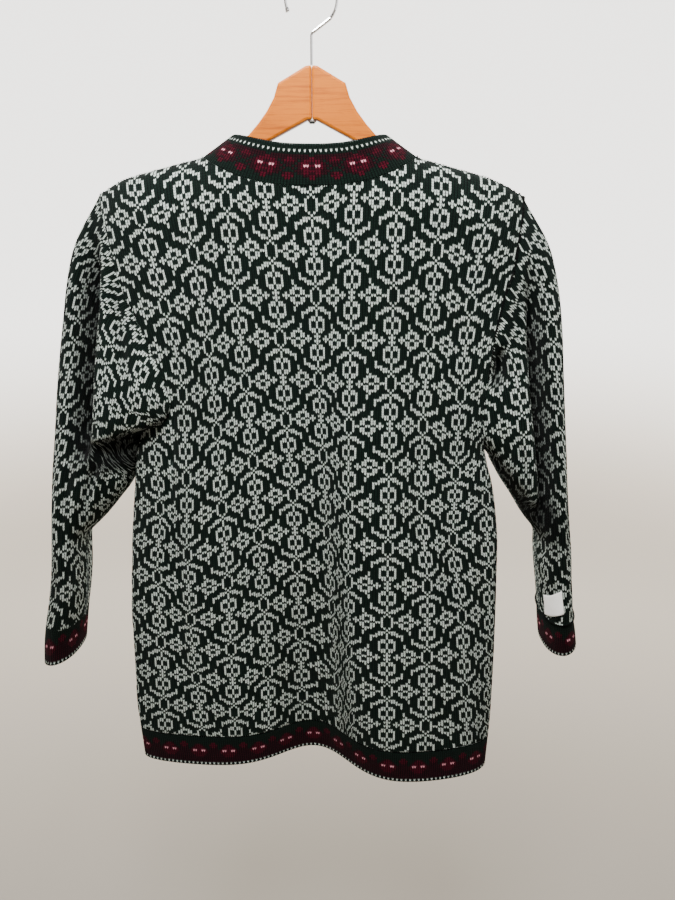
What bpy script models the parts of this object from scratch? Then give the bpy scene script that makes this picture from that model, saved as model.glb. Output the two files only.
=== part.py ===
"""A knitted cardigan, buttoned to the neck, hanging on a wooden hanger.

Frame: metres, +Z up. The fronts face -Y and the wearer's left side is +X. The origin is
the inside top of the hook, where a rail or a knob carries the hanger.

The body is one form: at each height a rounded outline, drawn out of a table of sections,
with the hem's lobes and trough added. The back and the fronts are cut out of that form,
and the sleeves are lofted from the armholes to the cuffs.
"""

import math
from collections import namedtuple

import bmesh
import bpy
import numpy as np

OBJECT_NAME = "cardigan_on_hanger"

# Cloth
WALL = 0.0022
SEAM_GAP = 0.0003
ARMHOLE_GAP = 0.0014
LAYER_STEP = 0.0029

# Heights of the body
HEM_BOTTOM = -0.878
HEM_TOP = -0.838
HEM_ROWS = 2

# Counts of the cloth grids
SHOULDER_COLUMNS = 7
BACK_NECK_COLUMNS = 18
FRONT_NECK_COLUMNS = 7
NECK_COLUMN_POWER = 1.4
BODY_ROWS = 13
ARM_SEGMENTS = 12
SLEEVE_ROWS = 22
CUFF_ROWS = 3
NECKBAND_ROWS = 3

# Neck
NECKBAND_HEIGHT = 0.040
BACK_NECK_Z = -0.202
BACK_NECK_RISE_POWER = 2.6
FRONT_NECK_Z = -0.260
FRONT_NECK_RISE_POWER = 2.4
SIDE_LEAN_X = 0.84
SIDE_LEAN_Z = 0.54

# Front bands
BAND_HALF = 0.016
BAND_LAP = 0.0045
BAND_WALL = 0.0024
BAND_COLUMNS = 2

# Buttons
BUTTON_COUNT = 7
BUTTON_RADIUS = 0.0080
BUTTON_HEIGHT = 0.0050
BUTTON_FOOT_RADIUS = 0.0032
BUTTON_STEPS = 14
TOP_BUTTON_Z = -0.246
BOTTOM_BUTTON_Z = -0.855

# Shoulder rounding
SHOULDER_ROUND = 0.060
NECK_LIFT = 0.25
OUTLINE_POWER = 2.4

# Sleeve label
LABEL_FROM = 8.25
LABEL_TO = 9.32
LABEL_SKEW = 0.50
LABEL_ANGLES = (95.0, 158.0)
LABEL_WALL = 0.0008
LABEL_COLUMNS = 5
LABEL_ROWS = 3

# Hanger
WOOD_THICKNESS = 0.012
WOOD_ROUND = 0.0025
MITRE_GAP = 0.0003
WOOD_TOP = (
    (0.0000, -0.0835),
    (0.0062, -0.0845),
    (0.0345, -0.1000),
    (0.0390, -0.1135),
    (0.0468, -0.1265),
    (0.0560, -0.1380),
    (0.0660, -0.1485),
    (0.0760, -0.1570),
    (0.0900, -0.1670),
    (0.1130, -0.1785),
    (0.1450, -0.1835),
    (0.1780, -0.1930),
    (0.1990, -0.2035),
)
WOOD_END = ((0.2050, -0.2105), (0.2050, -0.2180), (0.2000, -0.2220))
WOOD_BOTTOM = (
    (0.1800, -0.2130),
    (0.1450, -0.2050),
    (0.1150, -0.1985),
    (0.0900, -0.1870),
    (0.0437, -0.1540),
    (0.0048, -0.1345),
    (0.0000, -0.1345),
)

# Hook
HOOK_WIRE = 0.0017
HOOK_RADIUS = 0.0257
HOOK_CENTRE_Z = HOOK_WIRE - HOOK_RADIUS
HOOK_FOOT_Z = -0.0832
HOOK_BEND_Z = -0.0560
HOOK_START_ANGLE = 42.0
HOOK_TIP_ANGLE = 197.0
HOOK_TIP = ((0.0010, 1.35), (0.0022, 1.60), (0.0034, 1.50), (0.0044, 1.00))
HOOK_POINTS = 26
NUT_RADIUS = 0.0043
NUT_HEIGHT = 0.0032
NUT_STEPS = 16

# The body's outline at each height: half-widths to the wearer's left and right, the
# depth of the side edges, and how far the back and the fronts stand out from them
Section = namedtuple("Section", "z left right side back front")
SECTIONS = (
    Section(-0.878, 0.2185, 0.2120, 0.046, 0.027, 0.066),
    Section(-0.800, 0.2235, 0.2160, 0.040, 0.027, 0.064),
    Section(-0.700, 0.2240, 0.2170, 0.030, 0.029, 0.060),
    Section(-0.600, 0.2195, 0.2165, 0.018, 0.034, 0.052),
    Section(-0.560, 0.2160, 0.2130, 0.013, 0.036, 0.049),
    Section(-0.526, 0.2125, 0.2075, 0.009, 0.039, 0.046),
    Section(-0.500, 0.2105, 0.2005, 0.006, 0.040, 0.044),
    Section(-0.481, 0.2065, 0.1975, 0.004, 0.042, 0.043),
    Section(-0.458, 0.2005, 0.2060, 0.002, 0.044, 0.042),
    Section(-0.410, 0.2220, 0.2240, 0.000, 0.045, 0.041),
    Section(-0.340, 0.2340, 0.2350, 0.000, 0.045, 0.040),
    Section(-0.270, 0.2370, 0.2370, 0.000, 0.045, 0.040),
    Section(-0.208, 0.2330, 0.2330, 0.000, 0.045, 0.040),
    Section(-0.120, 0.2330, 0.2330, 0.000, 0.045, 0.040),
)

# The long fold down the back: its place, the step up to the right lobe, the step's
# width, and the trough beside it
BackFold = namedtuple("BackFold", "z x step width trough trough_x trough_width")
BACK_FOLD = (
    BackFold(-0.878, -0.035, 0.030, 0.0164, 0.042, 0.000, 0.061),
    BackFold(-0.800, -0.029, 0.027, 0.0130, 0.033, 0.002, 0.050),
    BackFold(-0.700, -0.022, 0.023, 0.0100, 0.020, 0.000, 0.038),
    BackFold(-0.611, -0.016, 0.018, 0.0075, 0.010, -0.002, 0.026),
    BackFold(-0.540, -0.013, 0.014, 0.0060, 0.004, -0.002, 0.020),
    BackFold(-0.480, -0.010, 0.009, 0.0060, 0.001, 0.000, 0.020),
    BackFold(-0.400, -0.005, 0.003, 0.0060, 0.000, 0.000, 0.020),
    BackFold(-0.340, -0.002, 0.000, 0.0060, 0.000, 0.000, 0.020),
    BackFold(-0.120, 0.000, 0.000, 0.0060, 0.000, 0.000, 0.020),
)

# The fronts hang in shallow waves: place, width and depth of each at the hem
FrontWave = namedtuple("FrontWave", "x width depth")
FRONT_WAVES = (
    FrontWave(0.118, 0.040, -0.012),
    FrontWave(-0.088, 0.034, -0.014),
    FrontWave(-0.165, 0.022, 0.008),
)
FRONT_WAVE_TOP = -0.480

# The shoulder seams, from the neck point out to the corner of the shoulder
ShoulderPoint = namedtuple("ShoulderPoint", "x z")
SHOULDERS = {
    1: (
        ShoulderPoint(0.1150, -0.1700),
        ShoulderPoint(0.1500, -0.1785),
        ShoulderPoint(0.1720, -0.1840),
        ShoulderPoint(0.2000, -0.1920),
        ShoulderPoint(0.2265, -0.2060),
    ),
    -1: (
        ShoulderPoint(0.1105, -0.1700),
        ShoulderPoint(0.1460, -0.1795),
        ShoulderPoint(0.1796, -0.1885),
        ShoulderPoint(0.2012, -0.1965),
        ShoulderPoint(0.2236, -0.2085),
    ),
}

# The armhole seams, from the shoulder down to the underarm: distance from the middle on
# the back and on the front
ArmholePoint = namedtuple("ArmholePoint", "z back front")
ARMHOLES = {
    1: (
        ArmholePoint(-0.2060, 0.2265, 0.2265),
        ArmholePoint(-0.2455, 0.2170, 0.2180),
        ArmholePoint(-0.3020, 0.2040, 0.2050),
        ArmholePoint(-0.3380, 0.1905, 0.1960),
        ArmholePoint(-0.3626, 0.1810, 0.1900),
        ArmholePoint(-0.4000, 0.1750, 0.1850),
        ArmholePoint(-0.4300, 0.1790, 0.1860),
        ArmholePoint(-0.4480, 0.1895, 0.1920),
        ArmholePoint(-0.4580, 0.2005, 0.2005),
    ),
    -1: (
        ArmholePoint(-0.2085, 0.2236, 0.2236),
        ArmholePoint(-0.2520, 0.2178, 0.2170),
        ArmholePoint(-0.2850, 0.2139, 0.2100),
        ArmholePoint(-0.3080, 0.2060, 0.2030),
        ArmholePoint(-0.3410, 0.1996, 0.1960),
        ArmholePoint(-0.3900, 0.1930, 0.1890),
        ArmholePoint(-0.4400, 0.1895, 0.1860),
        ArmholePoint(-0.4700, 0.1925, 0.1900),
        ArmholePoint(-0.4810, 0.1975, 0.1975),
    ),
}

# The sleeves: the outer edge, the inner edge, and the middle and half depth of each ring
SleeveRing = namedtuple("SleeveRing", "out_x out_z in_x in_z middle depth")
SLEEVES = {
    1: (
        SleeveRing(0.2265, -0.2060, 0.2005, -0.4580, 0.000, 0.030),
        SleeveRing(0.2610, -0.2645, 0.2130, -0.4845, 0.000, 0.036),
        SleeveRing(0.2775, -0.3370, 0.2220, -0.5220, 0.001, 0.040),
        SleeveRing(0.2890, -0.4030, 0.2370, -0.5480, 0.003, 0.043),
        SleeveRing(0.2960, -0.4580, 0.2560, -0.5700, 0.005, 0.045),
        SleeveRing(0.3025, -0.5050, 0.2700, -0.5830, 0.006, 0.046),
        SleeveRing(0.3075, -0.5530, 0.2790, -0.5940, 0.006, 0.047),
        SleeveRing(0.3125, -0.5960, 0.2815, -0.6130, 0.006, 0.047),
        SleeveRing(0.3200, -0.6420, 0.2838, -0.6450, 0.005, 0.046),
        SleeveRing(0.3275, -0.6760, 0.2885, -0.6760, 0.004, 0.045),
        SleeveRing(0.3345, -0.7020, 0.2930, -0.6980, 0.003, 0.044),
        SleeveRing(0.3405, -0.7300, 0.2975, -0.7240, 0.002, 0.043),
        SleeveRing(0.3440, -0.7570, 0.3015, -0.7495, 0.002, 0.042),
    ),
    -1: (
        SleeveRing(0.2236, -0.2085, 0.1975, -0.4810, 0.000, 0.030),
        SleeveRing(0.2588, -0.2665, 0.2080, -0.4990, 0.000, 0.036),
        SleeveRing(0.2740, -0.3330, 0.2200, -0.5200, 0.001, 0.040),
        SleeveRing(0.2810, -0.3990, 0.2350, -0.5420, 0.003, 0.043),
        SleeveRing(0.2870, -0.4590, 0.2500, -0.5660, 0.005, 0.045),
        SleeveRing(0.2930, -0.5140, 0.2630, -0.5820, 0.006, 0.046),
        SleeveRing(0.2990, -0.5640, 0.2690, -0.5970, 0.006, 0.047),
        SleeveRing(0.3050, -0.6030, 0.2705, -0.6200, 0.006, 0.047),
        SleeveRing(0.3090, -0.6370, 0.2740, -0.6450, 0.005, 0.047),
        SleeveRing(0.3130, -0.6660, 0.2790, -0.6740, 0.004, 0.047),
        SleeveRing(0.3165, -0.6900, 0.2825, -0.6985, 0.003, 0.046),
        SleeveRing(0.3215, -0.7110, 0.2850, -0.7215, 0.002, 0.046),
        SleeveRing(0.3250, -0.7300, 0.2880, -0.7440, 0.002, 0.045),
    ),
}
CUFF_RING = 10
ARMHOLE_BLEND = 1.6

# Creases in the backs of the sleeves run down a line of points (distance out, height),
# with a width and a depth, and fade over a height at each end
Crease = namedtuple("Crease", "line width depth fade")
CREASES = {
    1: (
        Crease(
            ((0.2300, -0.250), (0.2420, -0.371), (0.2500, -0.428), (0.2650, -0.512)),
            0.015,
            0.030,
            0.050,
        ),
    ),
    -1: (
        Crease(
            ((0.2412, -0.305), (0.2510, -0.371), (0.2600, -0.451), (0.2695, -0.569)),
            0.014,
            0.024,
            0.045,
        ),
    ),
}

# The puffs of spare cloth behind the underarms: the lower edge's ends (out, height), how
# far the puff stands out, and how fast it fades above and below that edge
Puff = namedtuple("Puff", "in_x in_z out_x out_z reach above below")
PUFFS = {
    1: Puff(0.1525, -0.445, 0.2430, -0.469, 0.020, 0.085, 0.014),
    -1: Puff(0.1950, -0.470, 0.2500, -0.540, 0.010, 0.070, 0.018),
}
PUFF_SPREAD = 0.040

# Colours
GREEN_KNIT = (0.045, 0.085, 0.070)
BAND_KNIT = (0.060, 0.020, 0.028)
WOOD = (0.73, 0.36, 0.11)
CHROME = (0.80, 0.80, 0.80)
PEWTER = (0.42, 0.41, 0.39)
LABEL_CLOTH = (0.80, 0.77, 0.68)


def smooth_read(x, xs, ys):
    """Reads a smooth curve through the points (xs, ys), with xs rising, at x."""
    xs = np.asarray(xs, float)
    ys = np.asarray(ys, float)
    x = np.clip(np.asarray(x, float), xs[0], xs[-1])
    chord = np.diff(ys) / np.diff(xs)
    slope = np.empty_like(ys)
    slope[0], slope[-1] = chord[0], chord[-1]
    same_way = chord[:-1] * chord[1:] > 0
    middle = 2 * chord[:-1] * chord[1:] / np.where(same_way, chord[:-1] + chord[1:], 1)
    slope[1:-1] = np.where(same_way, middle, 0)
    at = np.clip(np.searchsorted(xs, x) - 1, 0, len(xs) - 2)
    span = xs[at + 1] - xs[at]
    t = (x - xs[at]) / span
    return (
        ys[at] * (1 + 2 * t) * (1 - t) ** 2
        + ys[at + 1] * t * t * (3 - 2 * t)
        + span * (slope[at] * t * (1 - t) ** 2 - slope[at + 1] * t * t * (1 - t))
    )


def read_table(table, field, z):
    """One column of a table of named rows, read smoothly at the height z."""
    rows = sorted(table, key=lambda row: row.z)
    return smooth_read(z, [row.z for row in rows], [getattr(row, field) for row in rows])


def smoothstep(t):
    t = np.clip(t, 0.0, 1.0)
    return t * t * (3 - 2 * t)


def unit(vectors):
    length = np.linalg.norm(vectors, axis=-1, keepdims=True)
    return vectors / np.maximum(length, 1e-12)


def shoulder_height(x):
    """The height of the shoulder seam at x, run on upwards past the neck points."""
    x = np.asarray(x, float)
    heights = []
    for side in (1, -1):
        points = SHOULDERS[side]
        out = np.abs(x)
        seam = smooth_read(out, [p.x for p in points], [p.z for p in points])
        heights.append(seam + NECK_LIFT * np.maximum(points[0].x - out, 0))
    return np.where(x >= 0, heights[0], heights[1])


def outline(x, z):
    """How full the body is at x: 1 in the middle, 0 at the side edge."""
    half = np.where(x >= 0, read_table(SECTIONS, "left", z), read_table(SECTIONS, "right", z))
    across = np.clip(np.abs(x) / half, 0, 1) ** OUTLINE_POWER
    return (1 - across) ** (1 / OUTLINE_POWER)


def shoulder_fullness(x, z):
    drop = np.clip((shoulder_height(x) - z) / SHOULDER_ROUND, 0, 1)
    return np.sqrt(1 - (1 - drop) ** 2)


def back_depth(x, z):
    """y of the outside of the back."""
    full = outline(x, z)
    y = read_table(SECTIONS, "side", z)
    y = y + read_table(SECTIONS, "back", z) * full * shoulder_fullness(x, z)
    fold = {name: read_table(BACK_FOLD, name, z) for name in BackFold._fields[1:]}
    step = 1 / (1 + np.exp(np.clip((x - fold["x"]) / fold["width"], -40, 40)))
    trough = np.exp(-(((x - fold["trough_x"]) / fold["trough_width"]) ** 2))
    return y + (fold["step"] * step - fold["trough"] * trough) * np.sqrt(full)


def front_depth(x, z):
    """y of the outside of the fronts."""
    full = outline(x, z)
    y = read_table(SECTIONS, "side", z)
    y = y - read_table(SECTIONS, "front", z) * full * shoulder_fullness(x, z)
    grown = smoothstep((FRONT_WAVE_TOP - z) / (FRONT_WAVE_TOP - HEM_BOTTOM))
    for wave in FRONT_WAVES:
        y = y - wave.depth * grown * np.sqrt(full) * np.exp(-(((x - wave.x) / wave.width) ** 2))
    return y


def armhole_rows():
    """Shares of the way down the armhole, from the shoulder to the underarm."""
    turns = np.linspace(0, math.pi, ARM_SEGMENTS + 1)
    return (1 - np.cos(turns)) / 2


def armhole_curve(side, face, share):
    """Points of an armhole seam on the back or the front, at shares of the way down."""
    points = ARMHOLES[side]
    top, bottom = points[0].z, points[-1].z
    z = top + (bottom - top) * np.asarray(share, float)
    rows = sorted(points, key=lambda p: p.z)
    x = side * smooth_read(z, [p.z for p in rows], [getattr(p, face) for p in rows])
    y = back_depth(x, z) if face == "back" else front_depth(x, z)
    return np.stack([x, y, z], axis=-1)


def armhole_inward(side, face, share):
    """The way through the wall at the armhole seam, shared by the body and the sleeve."""
    turn = np.arccos(1 - 2 * np.asarray(share, float))
    way = -1 if face == "back" else 1
    parts = [np.full_like(turn, -0.35 * side), way * np.sin(turn), -0.9 * np.cos(turn)]
    return unit(np.stack(parts, axis=-1))


def edge_rows(side):
    """Heights of the body's rows at one side edge, from the hem band to the shoulder."""
    bottom, top = ARMHOLES[side][-1].z, ARMHOLES[side][0].z
    low = np.linspace(HEM_TOP, bottom, BODY_ROWS + 1)
    high = top + (bottom - top) * armhole_rows()[::-1]
    return np.concatenate([low, high[1:]])


def edge_half_width(side, face):
    """x of the panel's side edge on each row."""
    z = edge_rows(side)[: BODY_ROWS + 1]
    name = "left" if side > 0 else "right"
    low = side * read_table(SECTIONS, name, z)
    high = armhole_curve(side, face, armhole_rows()[::-1])[:, 0]
    return np.concatenate([low, high[1:]])


def neck_height(x, face):
    side = np.where(x >= 0, 1, -1)
    half = np.where(side > 0, SHOULDERS[1][0].x, SHOULDERS[-1][0].x)
    top = SHOULDERS[1][0].z
    across = np.clip(np.abs(x) / half, 0, 1)
    if face == "back":
        return BACK_NECK_Z + (top - BACK_NECK_Z) * across**BACK_NECK_RISE_POWER
    return FRONT_NECK_Z + (top - FRONT_NECK_Z) * across**FRONT_NECK_RISE_POWER


def top_height(x, face):
    """Height of a panel's top edge: the shoulder seam, and the neck seam between."""
    half = np.where(x >= 0, SHOULDERS[1][0].x, SHOULDERS[-1][0].x)
    return np.where(np.abs(x) < half - 1e-6, neck_height(x, face), shoulder_height(x))


def back_columns():
    """x of the back's columns along its top edge."""
    left = np.linspace(SHOULDERS[1][-1].x, SHOULDERS[1][0].x, SHOULDER_COLUMNS + 1)
    neck = np.linspace(SHOULDERS[1][0].x, -SHOULDERS[-1][0].x, BACK_NECK_COLUMNS + 1)
    right = np.linspace(-SHOULDERS[-1][0].x, -SHOULDERS[-1][-1].x, SHOULDER_COLUMNS + 1)
    return np.concatenate([left, neck[1:], right[1:]])


def front_columns(side):
    """x of a front's columns along its top edge, from the shoulder to the front band."""
    points = SHOULDERS[side]
    shoulder = np.linspace(points[-1].x, points[0].x, SHOULDER_COLUMNS + 1)
    share = np.linspace(0, 1, FRONT_NECK_COLUMNS + 1) ** NECK_COLUMN_POWER
    neck = points[0].x + (BAND_HALF + SEAM_GAP - points[0].x) * share
    return side * np.concatenate([shoulder, neck[1:]])


def panel_heights(x_top, edge_a, edge_b, face):
    """Heights of a panel's points: level rows below the arms, rising to its top edge."""
    share = (x_top - x_top[0]) / (x_top[-1] - x_top[0])
    base = edge_a[None, :] * (1 - share[:, None]) + edge_b[None, :] * share[:, None]
    lift = top_height(x_top, face) - (edge_a[-1] * (1 - share) + edge_b[-1] * share)
    rise = np.clip((base - base[:, :1]) / (base[:, -1:] - base[:, :1]), 0, 1) ** 2.4
    return base + lift[:, None] * rise


def back_grid():
    x_top = back_columns()
    z = panel_heights(x_top, edge_rows(1), edge_rows(-1), "back")
    left, right = edge_half_width(1, "back"), edge_half_width(-1, "back")
    share = ((x_top - x_top[0]) / (x_top[-1] - x_top[0]))[:, None]
    x = left[None, :] * (1 - share) + right[None, :] * share
    return np.stack([x, back_depth(x, z), z], axis=-1)


def front_grid(side):
    x_top = front_columns(side)
    rows = edge_rows(side)
    z = panel_heights(x_top, rows, rows, "front")
    outer = edge_half_width(side, "front")
    inner = np.full_like(outer, x_top[-1])
    share = ((x_top - x_top[0]) / (x_top[-1] - x_top[0]))[:, None]
    x = outer[None, :] * (1 - share) + inner[None, :] * share
    return np.stack([x, front_depth(x, z), z], axis=-1)


def grid_normals(grid, ring=False):
    """Unit normals of a grid of points. A ring closes along its first index."""
    if ring:
        along = np.roll(grid, -1, axis=0) - np.roll(grid, 1, axis=0)
    else:
        along = np.gradient(grid, axis=0)
    return unit(np.cross(along, np.gradient(grid, axis=1)))


def panel_inward(grid, way):
    """Inward directions of a body panel, turned along its side edges into the seams."""
    normals = grid_normals(grid)
    normals *= np.where((normals[..., 1:2] * way) >= 0, 1, -1)
    return normals


def set_side_seam(inward, column, side, face):
    """Gives one edge of a panel the directions that its neighbours share."""
    inward[column, : BODY_ROWS + 1] = (-side, 0, 0)
    arm = armhole_inward(side, face, armhole_rows()[::-1])
    inward[column, BODY_ROWS + 1 :] = arm[1:]
    inward[column, BODY_ROWS] = unit(np.array([-side, 0.0, 0.5]))


def set_top_seam(inward, columns, face, x_top):
    """Shoulder seams run down through the wall, and neck seams towards the neck."""
    way = -1.0 if face == "back" else 1.0
    for j, x in zip(columns, x_top):
        full = float(shoulder_fullness(np.array(x), top_height(np.array(x), face)))
        inward[j, -1] = unit(np.array([0.0, way * full, -1.0 + full]))


def shell(name, outer, inward, wall, material, ring=False):
    """A closed wall between a grid of outer points and the same grid moved inwards."""
    inner = outer + inward * wall
    count_a, count_b = outer.shape[:2]
    mesh = bmesh.new()
    layers = []
    for points in (outer, inner):
        layers.append([[mesh.verts.new(p) for p in line] for line in points])
    steps_a = count_a if ring else count_a - 1
    for layer in layers:
        for a in range(steps_a):
            c = (a + 1) % count_a
            for b in range(count_b - 1):
                mesh.faces.new((layer[a][b], layer[c][b], layer[c][b + 1], layer[a][b + 1]))
    for b in (0, count_b - 1):
        for a in range(steps_a):
            c = (a + 1) % count_a
            mesh.faces.new((layers[0][a][b], layers[0][c][b], layers[1][c][b], layers[1][a][b]))
    for a in () if ring else (0, count_a - 1):
        for b in range(count_b - 1):
            mesh.faces.new((layers[0][a][b], layers[0][a][b + 1], layers[1][a][b + 1], layers[1][a][b]))
    bmesh.ops.recalc_face_normals(mesh, faces=mesh.faces)
    return add_object(name, mesh, material)


def add_object(name, mesh, material):
    data = bpy.data.meshes.new(name)
    mesh.to_mesh(data)
    mesh.free()
    data.shade_smooth()
    data.materials.append(material)
    piece = bpy.data.objects.new(name, data)
    bpy.data.collections[OBJECT_NAME].objects.link(piece)
    return piece


def make_material(name, colour, roughness, metallic=0.0):
    material = bpy.data.materials.new(name)
    material.use_nodes = True
    surface = material.node_tree.nodes["Principled BSDF"]
    surface.inputs["Base Color"].default_value = (*colour, 1.0)
    surface.inputs["Roughness"].default_value = roughness
    surface.inputs["Metallic"].default_value = metallic
    return material


def build_back(material):
    grid = back_grid()
    inward = panel_inward(grid, -1)
    set_top_seam(inward, range(len(grid)), "back", back_columns())
    set_side_seam(inward, 0, 1, "back")
    set_side_seam(inward, len(grid) - 1, -1, "back")
    grid[:, 0, 2] += SEAM_GAP / 2
    grid[(0, -1), :, 1] += SEAM_GAP / 2
    grid[:, -1, 1] += SEAM_GAP / 2
    shell("back", grid, inward, WALL, material)


def build_front(side, name, material):
    grid = front_grid(side)
    inward = panel_inward(grid, 1)
    set_top_seam(inward, range(len(grid)), "front", front_columns(side))
    set_side_seam(inward, 0, side, "front")
    grid[:, 0, 2] += SEAM_GAP / 2
    grid[0, :, 1] -= SEAM_GAP / 2
    grid[:, -1, 1] -= SEAM_GAP / 2
    shell(name, grid, inward, WALL, material)


def crease_depth(side, x, z):
    """How far the creases draw in the back of a sleeve at a point."""
    total = np.zeros_like(x)
    for crease in CREASES[side]:
        line = sorted(crease.line, key=lambda p: p[1])
        heights = [p[1] for p in line]
        middle = side * smooth_read(z, heights, [p[0] for p in line])
        shape = np.exp(-(((x - middle) / crease.width) ** 2))
        ends = smoothstep((z - heights[0]) / crease.fade) * smoothstep((heights[-1] - z) / crease.fade)
        total = total + crease.depth * shape * ends
    return total


def puff_reach(side, x, z):
    """How far the spare cloth behind the underarm stands out at a point."""
    puff = PUFFS[side]
    along = np.clip((side * x - puff.in_x) / (puff.out_x - puff.in_x), 0, 1)
    edge = puff.in_z + (puff.out_z - puff.in_z) * along
    rise = z - edge
    shape = np.exp(-((rise / np.where(rise > 0, puff.above, puff.below)) ** 2))
    middle = (puff.in_x + puff.out_x) / 2
    spread = np.exp(-(((side * x - middle) / PUFF_SPREAD) ** 4))
    hollow = 0.6 * np.exp(-(((rise + 2 * puff.below) / (1.2 * puff.below)) ** 2))
    return puff.reach * (shape - hollow) * spread


def sleeve_field(side, name, ring):
    rings = SLEEVES[side]
    return smooth_read(ring, range(len(rings)), [getattr(r, name) for r in rings])


def sleeve_point(side, ring, turn):
    """A point on a sleeve: ring counts along it, and turn goes round from the outer edge
    over the back to the inner edge and back over the front."""
    ring, turn = np.broadcast_arrays(np.asarray(ring, float), np.asarray(turn, float))
    share = (1 - np.cos(turn)) / 2
    at_back = np.sin(turn) >= 0
    x = sleeve_field(side, "out_x", ring) * (1 - share) + sleeve_field(side, "in_x", ring) * share
    z = sleeve_field(side, "out_z", ring) * (1 - share) + sleeve_field(side, "in_z", ring) * share
    x = side * x
    first = SLEEVES[side][0]
    straight_x = side * (first.out_x * (1 - share) + first.in_x * share)
    straight_z = first.out_z * (1 - share) + first.in_z * share
    back = armhole_curve(side, "back", share)
    front = armhole_curve(side, "front", share)
    seam = np.where(at_back[..., None], back, front)
    free = smoothstep(ring / ARMHOLE_BLEND)
    x = x + (1 - free) * (seam[..., 0] - straight_x)
    z = z + (1 - free) * (seam[..., 2] - straight_z)
    round_y = np.sign(np.sin(turn)) * np.abs(np.sin(turn)) ** 0.85
    y = sleeve_field(side, "middle", ring) + sleeve_field(side, "depth", ring) * round_y
    y = seam[..., 1] * (1 - free) + y * free
    off_seam = 1 - np.exp(-((ring / 0.5) ** 2))
    over = np.abs(np.sin(turn)) * np.where(at_back, 1.0, 0.0)
    y = y + off_seam * over * (puff_reach(side, x, z) - crease_depth(side, x, z))
    return np.stack([x, y, z], axis=-1)


def sleeve_turns():
    return np.linspace(0, 2 * math.pi, 2 * ARM_SEGMENTS, endpoint=False)


def sleeve_grid(side, rings):
    turns = sleeve_turns()
    return sleeve_point(side, rings[None, :], turns[:, None])


def tube_inward(grid):
    """Inward directions of a tube, towards the middle of its rings."""
    normals = grid_normals(grid, ring=True)
    centre = grid.mean(axis=0, keepdims=True)
    score = ((centre - grid) * normals).sum(axis=-1, keepdims=True)
    return normals * (1 if score.sum() > 0 else -1)


def build_sleeve(side, name, material):
    rings = np.linspace(0, CUFF_RING, SLEEVE_ROWS + 1)
    grid = sleeve_grid(side, rings)
    inward = tube_inward(grid)
    turns = sleeve_turns()
    share = (1 - np.cos(turns)) / 2
    back = armhole_inward(side, "back", share)
    front = armhole_inward(side, "front", share)
    inward[:, 0] = np.where((np.sin(turns) >= 0)[:, None], back, front)
    away = unit(grid[:, 1] - grid[:, 0])
    grid[:, 0] += away * ARMHOLE_GAP
    back_up = unit(grid[:, -2] - grid[:, -1])
    grid[:, -1] += back_up * SEAM_GAP / 2
    shell(name, grid, inward, WALL, material, ring=True)


def build_cuff(side, name, material):
    rings = np.linspace(CUFF_RING, len(SLEEVES[side]) - 1, CUFF_ROWS + 1)
    grid = sleeve_grid(side, rings)
    inward = tube_inward(grid)
    grid[:, 0] += unit(grid[:, 1] - grid[:, 0]) * SEAM_GAP / 2
    shell(name, grid, inward, WALL, material, ring=True)


def hem_strip(x_row, face):
    """Grid of a hem band under a panel whose bottom row has the given x."""
    z = np.linspace(HEM_BOTTOM, HEM_TOP - SEAM_GAP / 2, HEM_ROWS + 1)
    x_row = x_row[:, None]
    spread = []
    for side, name in ((1, "left"), (-1, "right")):
        here = read_table(SECTIONS, name, z) / read_table(SECTIONS, name, np.array(HEM_TOP))
        spread.append(here)
    x = x_row * np.where(x_row >= 0, spread[0][None, :], spread[1][None, :])
    z = np.broadcast_to(z[None, :], x.shape)
    y = back_depth(x, z) if face == "back" else front_depth(x, z)
    return np.stack([x, y, z], axis=-1)


def build_hems(material):
    grid = hem_strip(back_grid()[:, 0, 0], "back")
    inward = panel_inward(grid, -1)
    inward[0], inward[-1] = (-1, 0, 0), (1, 0, 0)
    grid[(0, -1), :, 1] += SEAM_GAP / 2
    shell("hem_band_back", grid, inward, WALL, material)
    for side, name in ((1, "hem_band_left_front"), (-1, "hem_band_right_front")):
        grid = hem_strip(front_grid(side)[:, 0, 0], "front")
        grid[-1, :, 0] = side * (BAND_HALF + SEAM_GAP)
        grid[-1, :, 1] = front_depth(grid[-1, :, 0], grid[-1, :, 2])
        inward = panel_inward(grid, 1)
        inward[0] = (-side, 0, 0)
        grid[0, :, 1] -= SEAM_GAP / 2
        shell(name, grid, inward, WALL, material)


def neck_seam():
    """The neck seam's points, from the right front band round the back to the left one."""
    right = front_grid(-1)[SHOULDER_COLUMNS:, -1][::-1]
    back = back_grid()[SHOULDER_COLUMNS : SHOULDER_COLUMNS + BACK_NECK_COLUMNS + 1, -1][::-1]
    left = front_grid(1)[SHOULDER_COLUMNS:, -1]
    return np.concatenate([right, back[1:-1], left])


def neckband_way(seam):
    """The way that the neckband stands from each point of the neck seam."""
    half = np.where(seam[:, 0] >= 0, SHOULDERS[1][0].x, SHOULDERS[-1][0].x)
    across = np.clip(np.abs(seam[:, 0]) / half, 0, 1)
    to_side = (across**2)[:, None]
    sign = np.where(seam[:, 0] >= 0, 1.0, -1.0)
    at_side = np.stack([-SIDE_LEAN_X * sign, 0 * sign, SIDE_LEAN_Z + 0 * sign], axis=-1)
    lean = np.where(seam[:, 1] >= 0, -0.06, 0.16)
    upright = np.stack([-0.12 * sign * across, lean, 0.99 + 0 * sign], axis=-1)
    return unit(at_side * to_side + upright * (1 - to_side))


def neckband_grid():
    seam = neck_seam()
    way = neckband_way(seam)
    rises = np.linspace(SEAM_GAP, NECKBAND_HEIGHT, NECKBAND_ROWS + 1)
    grid = seam[:, None, :] + way[:, None, :] * rises[None, :, None]
    grid[0, :, 0] = -BAND_HALF - SEAM_GAP
    grid[-1, :, 0] = BAND_HALF + SEAM_GAP
    return grid


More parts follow.
